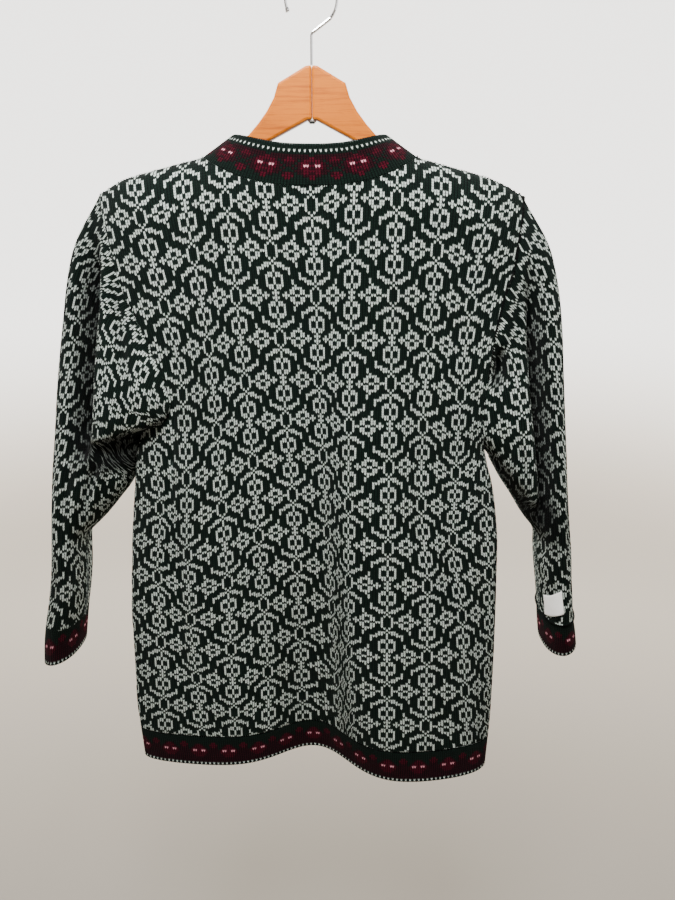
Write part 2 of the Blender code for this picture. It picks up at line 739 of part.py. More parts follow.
def build_neckband(material):
    grid = neckband_grid()
    normals = grid_normals(grid)
    centre = np.array([0.0, 0.0, grid[:, :, 2].mean()])
    score = ((centre - grid) * normals).sum(axis=-1)
    inward = normals * (1 if score.sum() > 0 else -1)
    inward[:, 0] = unit(inward[:, 0] * (1, 1, 0) + (0, 0, 1e-6))
    inward[(0, -1), :] = unit(inward[(0, -1), :] * (0, 1, 1))
    shell("neckband", grid, inward, WALL, material)


def band_line(offset):
    """Heights and depths of the front bands, from the hem to the top of the neckband."""
    seam = float(neck_height(np.array(BAND_HALF), "front"))
    low = np.linspace(HEM_BOTTOM, HEM_TOP, HEM_ROWS + 1)
    high = np.linspace(HEM_TOP, seam, BODY_ROWS + ARM_SEGMENTS + 1)
    z = np.concatenate([low, high[1:]])
    y = front_depth(np.zeros_like(z), z)
    collar = neckband_grid()[(0, -1), 1:]
    z = np.concatenate([z, collar[1, :, 2]])
    y = np.concatenate([y, collar[:, :, 1].min(axis=0)])
    return z, y - offset


def band_grid(x_from, x_to, offset):
    z, y = band_line(offset)
    x = np.linspace(x_from, x_to, BAND_COLUMNS + 1)
    grid = np.empty((len(x), len(z), 3))
    grid[..., 0], grid[..., 1], grid[..., 2] = x[:, None], y[None, :], z[None, :]
    return grid


def build_front_bands(material):
    under = band_grid(-BAND_HALF, BAND_HALF, 0.0)
    shell("button_band_left", under, panel_inward(under, 1), WALL, material)
    over = band_grid(-BAND_HALF - BAND_LAP, BAND_HALF, LAYER_STEP)
    shell("buttonhole_band_right", over, panel_inward(over, 1), BAND_WALL, material)


def turned(name, profile, steps, material):
    """A turned solid: a profile of (radius, height) pairs run round Z by Screw."""
    mesh = bmesh.new()
    points = [mesh.verts.new((radius, 0, height)) for radius, height in profile]
    for a, b in zip(points, points[1:]):
        mesh.edges.new((a, b))
    piece = add_object(name, mesh, material)
    screw = piece.modifiers.new("turn", "SCREW")
    screw.steps = screw.render_steps = steps
    screw.use_merge_vertices = True
    screw.merge_threshold = 0.00001
    return piece


def build_buttons(material):
    profile = (
        (0, BUTTON_HEIGHT),
        (BUTTON_RADIUS * 0.60, BUTTON_HEIGHT * 0.86),
        (BUTTON_RADIUS * 0.94, BUTTON_HEIGHT * 0.56),
        (BUTTON_RADIUS, BUTTON_HEIGHT * 0.36),
        (BUTTON_FOOT_RADIUS, BUTTON_HEIGHT * 0.14),
        (BUTTON_FOOT_RADIUS, 0),
        (0, 0),
    )
    z, y = band_line(LAYER_STEP)
    for number in range(BUTTON_COUNT):
        height = TOP_BUTTON_Z + (BOTTOM_BUTTON_Z - TOP_BUTTON_Z) * number / (BUTTON_COUNT - 1)
        slope = (np.interp(height + 0.005, z, y) - np.interp(height - 0.005, z, y)) / 0.01
        button = turned(f"button_{number + 1}", profile, BUTTON_STEPS, material)
        button.rotation_euler = (math.pi / 2 - math.atan(slope), 0, 0)
        button.location = (0, np.interp(height, z, y) - SEAM_GAP, height)


def build_label(material):
    side = -1
    turns = np.radians(np.linspace(*LABEL_ANGLES, LABEL_COLUMNS + 1))
    rings = np.linspace(LABEL_FROM, LABEL_TO, LABEL_ROWS + 1)
    skew = np.linspace(0, LABEL_SKEW, LABEL_COLUMNS + 1)
    grid = sleeve_point(side, rings[None, :] + skew[:, None], turns[:, None])
    normals = grid_normals(grid)
    normals *= np.where(normals[..., 1:2] > 0, 1, -1)
    grid = grid + normals * (SEAM_GAP + 0.0001 + LABEL_WALL)
    shell("sleeve_label", grid, -normals, LABEL_WALL, material)


def build_hanger(material):
    """Two flat arms that meet at a mitre under the hook."""
    outline_points = WOOD_TOP + WOOD_END + WOOD_BOTTOM
    for side, name in ((1, "hanger_arm_left"), (-1, "hanger_arm_right")):
        curve = bpy.data.curves.new(name, "CURVE")
        curve.dimensions = "2D"
        curve.fill_mode = "BOTH"
        curve.extrude = WOOD_THICKNESS / 2
        spline = curve.splines.new("POLY")
        spline.points.add(len(outline_points) - 1)
        for point, (x, z) in zip(spline.points, outline_points):
            point.co = (side * max(x, MITRE_GAP / 2), z, 0, 1)
        spline.use_cyclic_u = True
        guide = bpy.data.objects.new(name, curve)
        bpy.context.scene.collection.objects.link(guide)
        guide.rotation_euler = (math.pi / 2, 0, 0)
        bpy.context.view_layer.update()
        flat = guide.evaluated_get(bpy.context.evaluated_depsgraph_get())
        mesh = bmesh.new()
        mesh.from_mesh(bpy.data.meshes.new_from_object(flat))
        mesh.transform(guide.matrix_world)
        bpy.data.objects.remove(guide)
        bmesh.ops.remove_doubles(mesh, verts=mesh.verts, dist=0.00001)
        arm = add_object(name, mesh, material)
        bevel = arm.modifiers.new("round edges", "BEVEL")
        bevel.width = WOOD_ROUND
        bevel.segments = 2
        bevel.limit_method = "ANGLE"
        bevel.angle_limit = math.radians(60)


def hook_route():
    """The hook's middle line with its thickness, from the wood round to its ball tip."""
    def on_ring(angle):
        return (
            -HOOK_RADIUS * math.cos(math.radians(angle)),
            0.0,
            HOOK_CENTRE_Z + HOOK_RADIUS * math.sin(math.radians(angle)),
        )

    angles = np.linspace(-HOOK_START_ANGLE, HOOK_TIP_ANGLE, HOOK_POINTS)
    foot = [(0, 0, HOOK_FOOT_Z), (0, 0, HOOK_BEND_Z), (-0.0012, 0, HOOK_BEND_Z + 0.0024)]
    route = [(*place, 1.0) for place in foot + [on_ring(a) for a in angles]]
    for past, thickness in HOOK_TIP:
        angle = HOOK_TIP_ANGLE + math.degrees(past / HOOK_RADIUS)
        route.append((*on_ring(angle), thickness))
    return route


def build_hook(material):
    route = hook_route()
    curve = bpy.data.curves.new("hook", "CURVE")
    curve.dimensions = "3D"
    curve.bevel_depth = HOOK_WIRE
    curve.bevel_resolution = 2
    curve.use_fill_caps = True
    spline = curve.splines.new("POLY")
    spline.points.add(len(route) - 1)
    for point, (x, y, z, thickness) in zip(spline.points, route):
        point.co = (x, y, z, 1)
        point.radius = thickness
    wire = bpy.data.objects.new("hook", curve)
    bpy.data.collections[OBJECT_NAME].objects.link(wire)
    curve.materials.append(material)
    return wire


def build_nut(material):
    profile = (
        (0, 0),
        (NUT_RADIUS, 0),
        (NUT_RADIUS, -NUT_HEIGHT * 0.45),
        (NUT_RADIUS * 0.6, -NUT_HEIGHT),
        (0, -NUT_HEIGHT),
    )
    nut = turned("hook_nut", profile, NUT_STEPS, material)
    nut.location = (0, 0, WOOD_BOTTOM[-1][1] - SEAM_GAP)


def main():
    for old in list(bpy.data.objects):
        bpy.data.objects.remove(old)
    collection = bpy.data.collections.new(OBJECT_NAME)
    bpy.context.scene.collection.children.link(collection)
    knit = make_material("knit", GREEN_KNIT, 0.9)
    band = make_material("band knit", BAND_KNIT, 0.9)
    wood = make_material("varnished wood", WOOD, 0.35)
    chrome = make_material("chrome", CHROME, 0.12, 1.0)
    pewter = make_material("pewter", PEWTER, 0.4, 1.0)
    label = make_material("label cloth", LABEL_CLOTH, 0.8)
    build_back(knit)
    build_front(1, "front_left", knit)
    build_front(-1, "front_right", knit)
    for side, word in ((1, "left"), (-1, "right")):
        build_sleeve(side, f"sleeve_{word}", knit)
        build_cuff(side, f"cuff_{word}", band)
    build_hems(band)
    build_neckband(band)
    build_front_bands(band)
    build_buttons(pewter)
    build_label(label)
    build_hanger(wood)
    build_hook(chrome)
    build_nut(chrome)


main()
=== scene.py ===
"""Looks of a knitted cardigan that hangs on a wooden hanger.

Every knitted piece is built stitch by stitch: a grid with two faces to a stitch, laid on
the form of its CAD solid, with the yarn's colour in a colour attribute, darkened there by
painted shade down in the sleeves' folds. The frame is the CAD's: metres, +Z up, the fronts
face -Y and the wearer's left side is +X.
"""

import logging
import math
from collections.abc import Callable, Sequence
from dataclasses import dataclass, field
from enum import Enum
from typing import NamedTuple

import bmesh
import bpy
import numpy as np
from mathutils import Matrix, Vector


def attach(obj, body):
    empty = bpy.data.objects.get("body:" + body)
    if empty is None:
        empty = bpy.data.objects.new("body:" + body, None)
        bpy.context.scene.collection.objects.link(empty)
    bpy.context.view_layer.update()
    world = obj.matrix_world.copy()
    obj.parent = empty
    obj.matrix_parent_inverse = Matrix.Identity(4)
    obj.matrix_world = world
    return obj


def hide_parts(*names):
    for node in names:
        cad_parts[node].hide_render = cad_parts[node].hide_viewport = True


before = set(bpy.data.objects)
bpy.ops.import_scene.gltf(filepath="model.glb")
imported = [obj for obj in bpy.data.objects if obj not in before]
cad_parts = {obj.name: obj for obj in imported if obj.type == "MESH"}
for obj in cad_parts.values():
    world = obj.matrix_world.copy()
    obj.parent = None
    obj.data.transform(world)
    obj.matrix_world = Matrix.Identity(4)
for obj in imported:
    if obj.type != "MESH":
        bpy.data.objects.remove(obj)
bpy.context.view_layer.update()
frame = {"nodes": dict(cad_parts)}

log = logging.getLogger("cardigan")

Colour = tuple[float, float, float]

# Cloth
WALL = 0.0022
SEAM_GAP = 0.0003
ALLOWANCE = 0.0014
LAYER_STEP = 0.0029
STITCH = 0.00279
ROW = 0.00252
FIRST_RING_Z = -0.2155
RAISED = 0.00025
SUNK = 0.00045
V_DROP = 0.80
MERGE = 0.00030
SLIVER = 1e-8

# Heights of the body
HEM_BOTTOM = -0.878
HEM_TOP = -0.838

# Neck
COLLAR_STITCH = 0.00285
NECKBAND_HEIGHT = 0.040
BACK_NECK_Z = -0.202
BACK_NECK_RISE_POWER = 2.6
FRONT_NECK_Z = -0.260
FRONT_NECK_RISE_POWER = 2.4
SIDE_LEAN_X = 0.84
SIDE_LEAN_Z = 0.54
BACK_LEAN = -0.06
FRONT_LEAN = 0.16
UPRIGHT_X = 0.12
UPRIGHT_Z = 0.99

# Front bands
RIB_STITCH = 0.0027
RIB_DEPTH = 0.0004
BAND_HALF = 0.016
BAND_LAP = 0.0045
BAND_WALL = 0.0024

# Shoulder rounding
SHOULDER_ROUND = 0.060
NECK_LIFT = 0.25
OUTLINE_POWER = 2.4

# Sleeve label
LABEL_RINGS = (8.25, 9.32)
LABEL_SKEW = 0.50
LABEL_ANGLES = (95.0, 158.0)
LABEL_WALL = 0.0008


class Side(Enum):
    """The wearer's left and right, with the sign of x there."""

    LEFT = 1
    RIGHT = -1

    @property
    def word(self) -> str:
        """The side's name in the names of nodes."""
        return self.name.lower()


class Face(Enum):
    """The two faces of the body, with the sign of y of each."""

    BACK = 1
    FRONT = -1


class Section(NamedTuple):
    """The body's outline at one height."""

    z: float
    left: float
    right: float
    side: float
    back: float
    front: float


SECTIONS = (
    Section(-0.878, 0.2185, 0.2120, 0.046, 0.027, 0.066),
    Section(-0.800, 0.2235, 0.2160, 0.040, 0.027, 0.064),
    Section(-0.700, 0.2240, 0.2170, 0.030, 0.029, 0.060),
    Section(-0.600, 0.2195, 0.2165, 0.018, 0.034, 0.052),
    Section(-0.560, 0.2160, 0.2130, 0.013, 0.036, 0.049),
    Section(-0.526, 0.2125, 0.2075, 0.009, 0.039, 0.046),
    Section(-0.500, 0.2105, 0.2005, 0.006, 0.040, 0.044),
    Section(-0.481, 0.2065, 0.1975, 0.004, 0.042, 0.043),
    Section(-0.458, 0.2005, 0.2060, 0.002, 0.044, 0.042),
    Section(-0.410, 0.2220, 0.2240, 0.000, 0.045, 0.041),
    Section(-0.340, 0.2340, 0.2350, 0.000, 0.045, 0.040),
    Section(-0.270, 0.2370, 0.2370, 0.000, 0.045, 0.040),
    Section(-0.208, 0.2330, 0.2330, 0.000, 0.045, 0.040),
    Section(-0.120, 0.2330, 0.2330, 0.000, 0.045, 0.040),
)


class BackFold(NamedTuple):
    """The long fold down the back at one height, with the trough beside it."""

    z: float
    x: float
    step: float
    width: float
    trough: float
    trough_x: float
    trough_width: float


BACK_FOLD = (
    BackFold(-0.878, -0.035, 0.030, 0.0164, 0.042, 0.000, 0.061),
    BackFold(-0.800, -0.029, 0.027, 0.0130, 0.033, 0.002, 0.050),
    BackFold(-0.700, -0.022, 0.023, 0.0100, 0.020, 0.000, 0.038),
    BackFold(-0.611, -0.016, 0.018, 0.0075, 0.010, -0.002, 0.026),
    BackFold(-0.540, -0.013, 0.014, 0.0060, 0.004, -0.002, 0.020),
    BackFold(-0.480, -0.010, 0.009, 0.0060, 0.001, 0.000, 0.020),
    BackFold(-0.400, -0.005, 0.003, 0.0060, 0.000, 0.000, 0.020),
    BackFold(-0.340, -0.002, 0.000, 0.0060, 0.000, 0.000, 0.020),
    BackFold(-0.120, 0.000, 0.000, 0.0060, 0.000, 0.000, 0.020),
)


class FrontWave(NamedTuple):
    """A shallow wave of the fronts: its place, width and depth at the hem."""

    x: float
    width: float
    depth: float


FRONT_WAVES = (
    FrontWave(0.118, 0.040, -0.012),
    FrontWave(-0.088, 0.034, -0.014),
    FrontWave(-0.165, 0.022, 0.008),
)
FRONT_WAVE_TOP = -0.480


class SoftFold(NamedTuple):
    """A soft upright fold laid on the form: its upper and lower ends, width and depth.

    A depth above zero is a trough, and below zero a ridge.
    """

    top: tuple[float, float]
    bottom: tuple[float, float]
    width: float
    depth: float
    fade: float


# Folds too small for the CAD, on the back and, alike but uneven, on the fronts
BACK_SOFT_FOLDS = (
    SoftFold((0.160, -0.560), (0.163, -0.790), 0.0100, 0.0060, 0.080),
    SoftFold((0.157, -0.420), (0.168, -0.560), 0.0060, 0.0050, 0.050),
    SoftFold((0.066, -0.600), (0.064, -0.830), 0.0180, 0.0045, 0.080),
    SoftFold((-0.119, -0.470), (-0.125, -0.610), 0.0085, 0.0055, 0.055),
    SoftFold((-0.150, -0.480), (-0.168, -0.640), 0.0120, 0.0030, 0.060),
    SoftFold((0.010, -0.500), (0.006, -0.700), 0.0120, -0.0030, 0.070),
    SoftFold((-0.196, -0.520), (-0.201, -0.700), 0.0080, 0.0040, 0.060),
)
FRONT_SOFT_FOLDS = (
    SoftFold((0.150, -0.450), (0.166, -0.640), 0.0110, 0.0050, 0.060),
    SoftFold((-0.145, -0.470), (-0.160, -0.660), 0.0120, 0.0055, 0.060),
    SoftFold((0.060, -0.560), (0.066, -0.820), 0.0170, 0.0045, 0.080),
    SoftFold((-0.045, -0.600), (-0.050, -0.830), 0.0160, 0.0040, 0.080),
)


class ShoulderPoint(NamedTuple):
    """A point of a shoulder seam, measured out from the middle."""

    x: float
    z: float


SHOULDERS = {
    Side.LEFT: (
        ShoulderPoint(0.1150, -0.1700),
        ShoulderPoint(0.1500, -0.1785),
        ShoulderPoint(0.1720, -0.1840),
        ShoulderPoint(0.2000, -0.1920),
        ShoulderPoint(0.2265, -0.2060),
    ),
    Side.RIGHT: (
        ShoulderPoint(0.1105, -0.1700),
        ShoulderPoint(0.1460, -0.1795),
        ShoulderPoint(0.1796, -0.1885),
        ShoulderPoint(0.2012, -0.1965),
        ShoulderPoint(0.2236, -0.2085),
    ),
}


class ArmholePoint(NamedTuple):
    """A point of an armhole seam: its distance out on the back and on the front."""

    z: float
    back: float
    front: float


ARMHOLES = {
    Side.LEFT: (
        ArmholePoint(-0.2060, 0.2265, 0.2265),
        ArmholePoint(-0.2455, 0.2170, 0.2180),
        ArmholePoint(-0.3020, 0.2040, 0.2050),
        ArmholePoint(-0.3380, 0.1890, 0.1960),
        ArmholePoint(-0.3626, 0.1785, 0.1900),
        ArmholePoint(-0.4000, 0.1645, 0.1850),
        ArmholePoint(-0.4300, 0.1600, 0.1860),
        ArmholePoint(-0.4450, 0.1680, 0.1910),
        ArmholePoint(-0.4580, 0.2005, 0.2005),
    ),
    Side.RIGHT: (
        ArmholePoint(-0.2085, 0.2236, 0.2236),
        ArmholePoint(-0.2520, 0.2178, 0.2170),
        ArmholePoint(-0.2850, 0.2139, 0.2100),
        ArmholePoint(-0.3080, 0.2060, 0.2030),
        ArmholePoint(-0.3410, 0.1996, 0.1960),
        ArmholePoint(-0.3900, 0.1930, 0.1890),
        ArmholePoint(-0.4400, 0.1895, 0.1860),
        ArmholePoint(-0.4700, 0.1925, 0.1900),
        ArmholePoint(-0.4810, 0.1975, 0.1975),
    ),
}


class SleeveRing(NamedTuple):
    """A ring of a sleeve: its outer and inner edge, middle and half depth."""

    out_x: float
    out_z: float
    in_x: float
    in_z: float
    middle: float
    depth: float


SLEEVES = {
    Side.LEFT: (
        SleeveRing(0.2265, -0.2060, 0.2005, -0.4580, 0.000, 0.030),
        SleeveRing(0.2610, -0.2645, 0.2070, -0.4845, 0.000, 0.036),
        SleeveRing(0.2775, -0.3370, 0.2175, -0.5220, 0.001, 0.040),
        SleeveRing(0.2890, -0.4030, 0.2370, -0.5480, 0.003, 0.043),
        SleeveRing(0.2960, -0.4580, 0.2560, -0.5700, 0.005, 0.045),
        SleeveRing(0.3025, -0.5050, 0.2700, -0.5830, 0.006, 0.046),
        SleeveRing(0.3075, -0.5530, 0.2790, -0.5940, 0.006, 0.047),
        SleeveRing(0.3125, -0.5960, 0.2815, -0.6130, 0.006, 0.047),
        SleeveRing(0.3200, -0.6420, 0.2838, -0.6450, 0.005, 0.046),
        SleeveRing(0.3275, -0.6760, 0.2885, -0.6760, 0.004, 0.045),
        SleeveRing(0.3345, -0.7020, 0.2930, -0.6980, 0.003, 0.044),
        SleeveRing(0.3405, -0.7300, 0.2975, -0.7240, 0.002, 0.043),
        SleeveRing(0.3440, -0.7570, 0.3015, -0.7495, 0.002, 0.042),
    ),
    Side.RIGHT: (
        SleeveRing(0.2236, -0.2085, 0.1975, -0.4810, 0.000, 0.030),
        SleeveRing(0.2588, -0.2665, 0.2080, -0.4990, 0.000, 0.036),
        SleeveRing(0.2740, -0.3330, 0.2200, -0.5200, 0.001, 0.040),
        SleeveRing(0.2810, -0.3990, 0.2350, -0.5420, 0.003, 0.043),
        SleeveRing(0.2870, -0.4590, 0.2500, -0.5660, 0.005, 0.045),
        SleeveRing(0.2930, -0.5140, 0.2630, -0.5820, 0.006, 0.046),
        SleeveRing(0.2990, -0.5640, 0.2690, -0.5970, 0.006, 0.047),
        SleeveRing(0.3050, -0.6030, 0.2705, -0.6200, 0.006, 0.047),
        SleeveRing(0.3090, -0.6370, 0.2740, -0.6450, 0.005, 0.047),
        SleeveRing(0.3130, -0.6660, 0.2790, -0.6740, 0.004, 0.047),
        SleeveRing(0.3165, -0.6900, 0.2825, -0.6985, 0.003, 0.046),
        SleeveRing(0.3215, -0.7110, 0.2850, -0.7215, 0.002, 0.046),
        SleeveRing(0.3250, -0.7300, 0.2880, -0.7440, 0.002, 0.045),
    ),
}
CUFF_RING = 10
LAST_RING = 12
ARMHOLE_BLEND = 1.6


class Crease(NamedTuple):
    """A crease in the back of a sleeve: its line down, widths, depth and fades.

    The wall on the body's side is steep, and the outer wall rolls into it.
    """

    line: tuple[tuple[float, float], ...]
    steep: float
    rolled: float
    depth: float
    upper_fade: float
    lower_fade: float


CREASES = {
    Side.LEFT: (
        Crease(
            ((0.2260, -0.205), (0.2380, -0.320), (0.2455, -0.380), (0.2520, -0.440), (0.2630, -0.500)),
            0.0055,
            0.0150,
            0.037,
            0.115,
            0.045,
        ),
    ),
    Side.RIGHT: (
        Crease(
            ((0.2310, -0.235), (0.2415, -0.371), (0.2515, -0.451), (0.2680, -0.580)),
            0.0060,
            0.0120,
            0.037,
            0.150,
            0.060,
        ),
    ),
}


class Puff(NamedTuple):
    """The spare cloth behind an underarm: its lower edge, reach, fades and the hollow below."""

    in_x: float
    in_z: float
    out_x: float
    out_z: float
    reach: float
    above: float
    below: float
    hollow: float


PUFFS = {
    Side.LEFT: Puff(0.1525, -0.441, 0.2430, -0.466, 0.0240, 0.085, 0.0065, 0.0240),
    Side.RIGHT: Puff(0.1950, -0.468, 0.2500, -0.538, 0.0120, 0.070, 0.0090, 0.0120),
}
PUFF_SPREAD = 0.043

# Painted shade: how much darker the deepest of each kind of fold is painted, and the fold depth painted
# darkest
CREASE_PAINTED_SHADE = 0.93
PUFF_PAINTED_SHADE = 0.85
FOLD_PAINTED_SHADE = 0.70
MOST_PAINTED_SHADE = 0.94
DARKEST_FOLD_DEPTH = 0.012

# Small folds of the sleeves, on the back
SLEEVE_SOFT_FOLDS = {
    Side.LEFT: (
        SoftFold((0.2130, -0.300), (0.2060, -0.395), 0.0075, 0.0050, 0.040),
        SoftFold((0.2700, -0.480), (0.2980, -0.600), 0.0060, 0.0045, 0.050),
        SoftFold((0.2480, -0.500), (0.2700, -0.560), 0.0055, 0.0070, 0.030),
        SoftFold((0.2360, -0.490), (0.2560, -0.545), 0.0045, -0.0040, 0.030),
        SoftFold((0.3020, -0.600), (0.3130, -0.690), 0.0070, 0.0040, 0.050),
    ),
    Side.RIGHT: (
        SoftFold((-0.2045, -0.375), (-0.2055, -0.398), 0.0075, 0.0230, 0.028),
        SoftFold((-0.2240, -0.300), (-0.2180, -0.372), 0.0080, 0.0055, 0.040),
        SoftFold((-0.2290, -0.470), (-0.2480, -0.545), 0.0050, 0.0055, 0.030),
        SoftFold((-0.2180, -0.455), (-0.2380, -0.520), 0.0045, -0.0030, 0.030),
        SoftFold((-0.2890, -0.500), (-0.2960, -0.620), 0.0035, 0.0035, 0.040),
        SoftFold((-0.2780, -0.560), (-0.2890, -0.680), 0.0070, 0.0040, 0.050),
    ),
}


class Hung(NamedTuple):
    """Where one ring of the pattern hangs on the back: its row, x and z."""

    row: float
    x: float
    z: float


RING_STEP = 36


def column(first_row: int, *places: tuple[float, float]) -> tuple[Hung, ...]:
    """The rings of one column of the pattern, from the x and z of each on its way down."""
    return tuple(Hung(first_row + RING_STEP * number, *place) for number, place in enumerate(places))


# How the cloth of the back hangs: for each column of rings, 16 stitches apart, the places
# of its rings. The columns crowd together in the folds and droop towards the left side.
BACK_COLUMNS = {
    80: column(
        18,
        (0.2120, -0.2770), (0.1950, -0.3696), (0.1840, -0.4600), (0.1789, -0.5472),
        (0.1862, -0.6316), (0.1863, -0.7138), (0.1868, -0.7962),
    ),
    64: column(
        0,
        (0.1779, -0.2290), (0.1580, -0.3188), (0.1444, -0.4138), (0.1453, -0.5107),
        (0.1492, -0.6023), (0.1492, -0.6832), (0.1445, -0.7584),
    ),
    48: column(
        18,
        (0.1236, -0.2654), (0.1125, -0.3605), (0.1078, -0.4544), (0.1058, -0.5445),
        (0.1022, -0.6343), (0.1010, -0.7186), (0.0996, -0.8023),
    ),
    32: column(
        0,
        (0.0865, -0.2128), (0.0802, -0.3072), (0.0740, -0.3988), (0.0685, -0.4891),
        (0.0647, -0.5767), (0.0609, -0.6630), (0.0583, -0.7525), (0.0590, -0.8405),
    ),
    16: column(
        18,
        (0.0422, -0.2620), (0.0348, -0.3512), (0.0305, -0.4402), (0.0246, -0.5267),
        (0.0212, -0.6143), (0.0191, -0.7065), (0.0180, -0.7982),
    ),
    0: column(
        0,
        (0.0003, -0.2178), (-0.0037, -0.3074), (-0.0059, -0.3956), (-0.0102, -0.4806),
        (-0.0143, -0.5700), (-0.0198, -0.6638), (-0.0257, -0.7619),
    ),
    -16: column(
        18,
        (-0.0421, -0.2583), (-0.0403, -0.3537), (-0.0387, -0.4459), (-0.0383, -0.5341),
        (-0.0386, -0.6241), (-0.0390, -0.7132), (-0.0426, -0.8051),
    ),
    -32: column(
        0,
        (-0.0864, -0.2117), (-0.0849, -0.3071), (-0.0841, -0.3996), (-0.0834, -0.4928),
        (-0.0833, -0.5844), (-0.0832, -0.6723), (-0.0842, -0.7571),
    ),
    -48: column(
        18,
        (-0.1293, -0.2612), (-0.1248, -0.3552), (-0.1203, -0.4470), (-0.1208, -0.5373),
        (-0.1293, -0.6307), (-0.1305, -0.7160), (-0.1309, -0.8029),
    ),
    -64: column(
        0,
        (-0.1816, -0.2236), (-0.1685, -0.3171), (-0.1621, -0.4137), (-0.1601, -0.5033),
        (-0.1583, -0.5788), (-0.1711, -0.6700), (-0.1780, -0.7634),
    ),
    -80: column(
        18,
        (-0.2200, -0.2640), (-0.2060, -0.3560), (-0.1985, -0.4480), (-0.1982, -0.5360),
        (-0.2043, -0.6259), (-0.2080, -0.7150), (-0.2090, -0.8060),
    ),
}
BACK_WALES = (-97, 101)
BACK_ROWS = (-25, 262)

# The fronts hang level: their rows, and the wale beside the front band
FRONT_ROWS = (-18, 249)
FRONT_WALE = -8


class SleeveRow(NamedTuple):
    """The line of one row across a sleeve, from the outer edge inwards.

    The row leaves the outer edge at the height z and climbs by slope_out per metre as
    far as bend, and by slope_in from there to the seam.
    """

    row: float
    z: float
    slope_out: float
    bend: float
    slope_in: float


SLEEVE_ROWS = {
    Side.LEFT: (
        SleeveRow(-93, -0.2062, -0.30, 0.018, -0.30),
        SleeveRow(-72, -0.2570, -0.12, 0.027, -0.60),
        SleeveRow(-36, -0.3450, 0.00, 0.036, -1.05),
        SleeveRow(0, -0.4410, 0.00, 0.042, -1.05),
        SleeveRow(22, -0.5000, 0.00, 0.040, -0.60),
        SleeveRow(43, -0.5620, 0.00, 0.030, -0.10),
        SleeveRow(72, -0.6510, 0.05, 0.030, 0.02),
        SleeveRow(89, -0.7020, -0.10, 0.030, -0.10),
    ),
    Side.RIGHT: (
        SleeveRow(-88, -0.2087, -0.30, 0.018, -0.30),
        SleeveRow(-54, -0.2970, -0.10, 0.030, -0.25),
        SleeveRow(-18, -0.3940, 0.00, 0.034, -0.25),
        SleeveRow(18, -0.4915, 0.00, 0.034, -0.25),
        SleeveRow(54, -0.5950, -0.05, 0.030, -0.20),
        SleeveRow(74, -0.6500, -0.12, 0.030, -0.15),
        SleeveRow(88, -0.6900, -0.25, 0.030, -0.25),
    ),
}
SLEEVE_RING_WALE = {Side.LEFT: 14, Side.RIGHT: 13}
SLEEVE_HALF_WALES = 92
SLEEVE_SAMPLES = 170
WIDEST_HALF = 0.16
LEAST_BEND = 0.002


class Yarn(Enum):
    """The yarns, with the letter of each in the charts and its colour."""

    GREEN = ("G", (0.0029, 0.0092, 0.0061))
    WHITE = ("W", (0.530, 0.590, 0.535))
    BURGUNDY = ("B", (0.0170, 0.0018, 0.0042))
    RED = ("R", (0.0520, 0.0014, 0.0078))
    PINK = ("P", (0.760, 0.310, 0.370))

    @property
    def letter(self) -> str:
        """The letter that stands for the yarn in a chart."""
        return self.value[0]

    @property
    def colour(self) -> Colour:
        """The yarn's colour, scene linear."""
        return self.value[1]


YARNS = tuple(Yarn)
RIM_BRIGHTEST = 0.1
YARN_COLOURS = np.array([yarn.colour for yarn in YARNS])
LETTERS = {yarn.letter: number for number, yarn in enumerate(YARNS)}


@dataclass(frozen=True)
class BodyChart:
    """The all-over pattern: rings and flowers, 32 stitches by 36 rows, half dropped.

    The quarter runs from the middle of a ring, nine stitches out and nineteen rows down.
    """

    quarter: tuple[str, ...]

    def yarns(self, wales: np.ndarray, rows: np.ndarray) -> np.ndarray:
        """The yarn of each stitch.

        Args:
            wales: whole numbers of stitches from the middle of a ring.
            rows: whole numbers of rows down from the middle of that ring.

        Returns:
            The numbers of the yarns, an array as large as the two together.
        """
        wales, rows = np.broadcast_arrays(wales, rows)
        x = np.abs((wales + 16) % 32 - 16)
        y = np.abs((rows + 18) % 36 - 18)
        dropped = x > 8
        x, y = np.where(dropped, 16 - x, x), np.where(dropped, 18 - y, y)
        marks = np.array([[mark == "#" for mark in line] for line in self.quarter])
        return np.where(marks[y, x], LETTERS["W"], LETTERS["G"])


@dataclass(frozen=True)
class BandChart:
    """A band's pattern: rows of one half of the repeat, from its middle out.

    A D stands for a dot: white on every second stitch, with green between.
    """

    repeat: int
    rows: tuple[str, ...]

    def yarns(self, wales: np.ndarray, rows: np.ndarray) -> np.ndarray:
        """The yarn of each stitch.

        Args:
            wales: whole numbers of stitches from the first of a repeat.
            rows: whole numbers of rows down from the band's upper row.

        Returns:
            The numbers of the yarns, an array as large as the two together.
        """
        wales, rows = np.broadcast_arrays(wales, rows)
        place = wales % self.repeat
        half = np.abs(2 * place - (self.repeat - 1)) // 2
        letters = np.array([list(line) for line in self.rows])[np.clip(rows, 0, len(self.rows) - 1), half]
        dots = np.where(place % 2 == 0, "W", "G")
        letters = np.where(letters == "D", dots, letters)
        numbers = np.zeros(letters.shape, int)
        for letter, number in LETTERS.items():
            numbers[letters == letter] = number
        return numbers


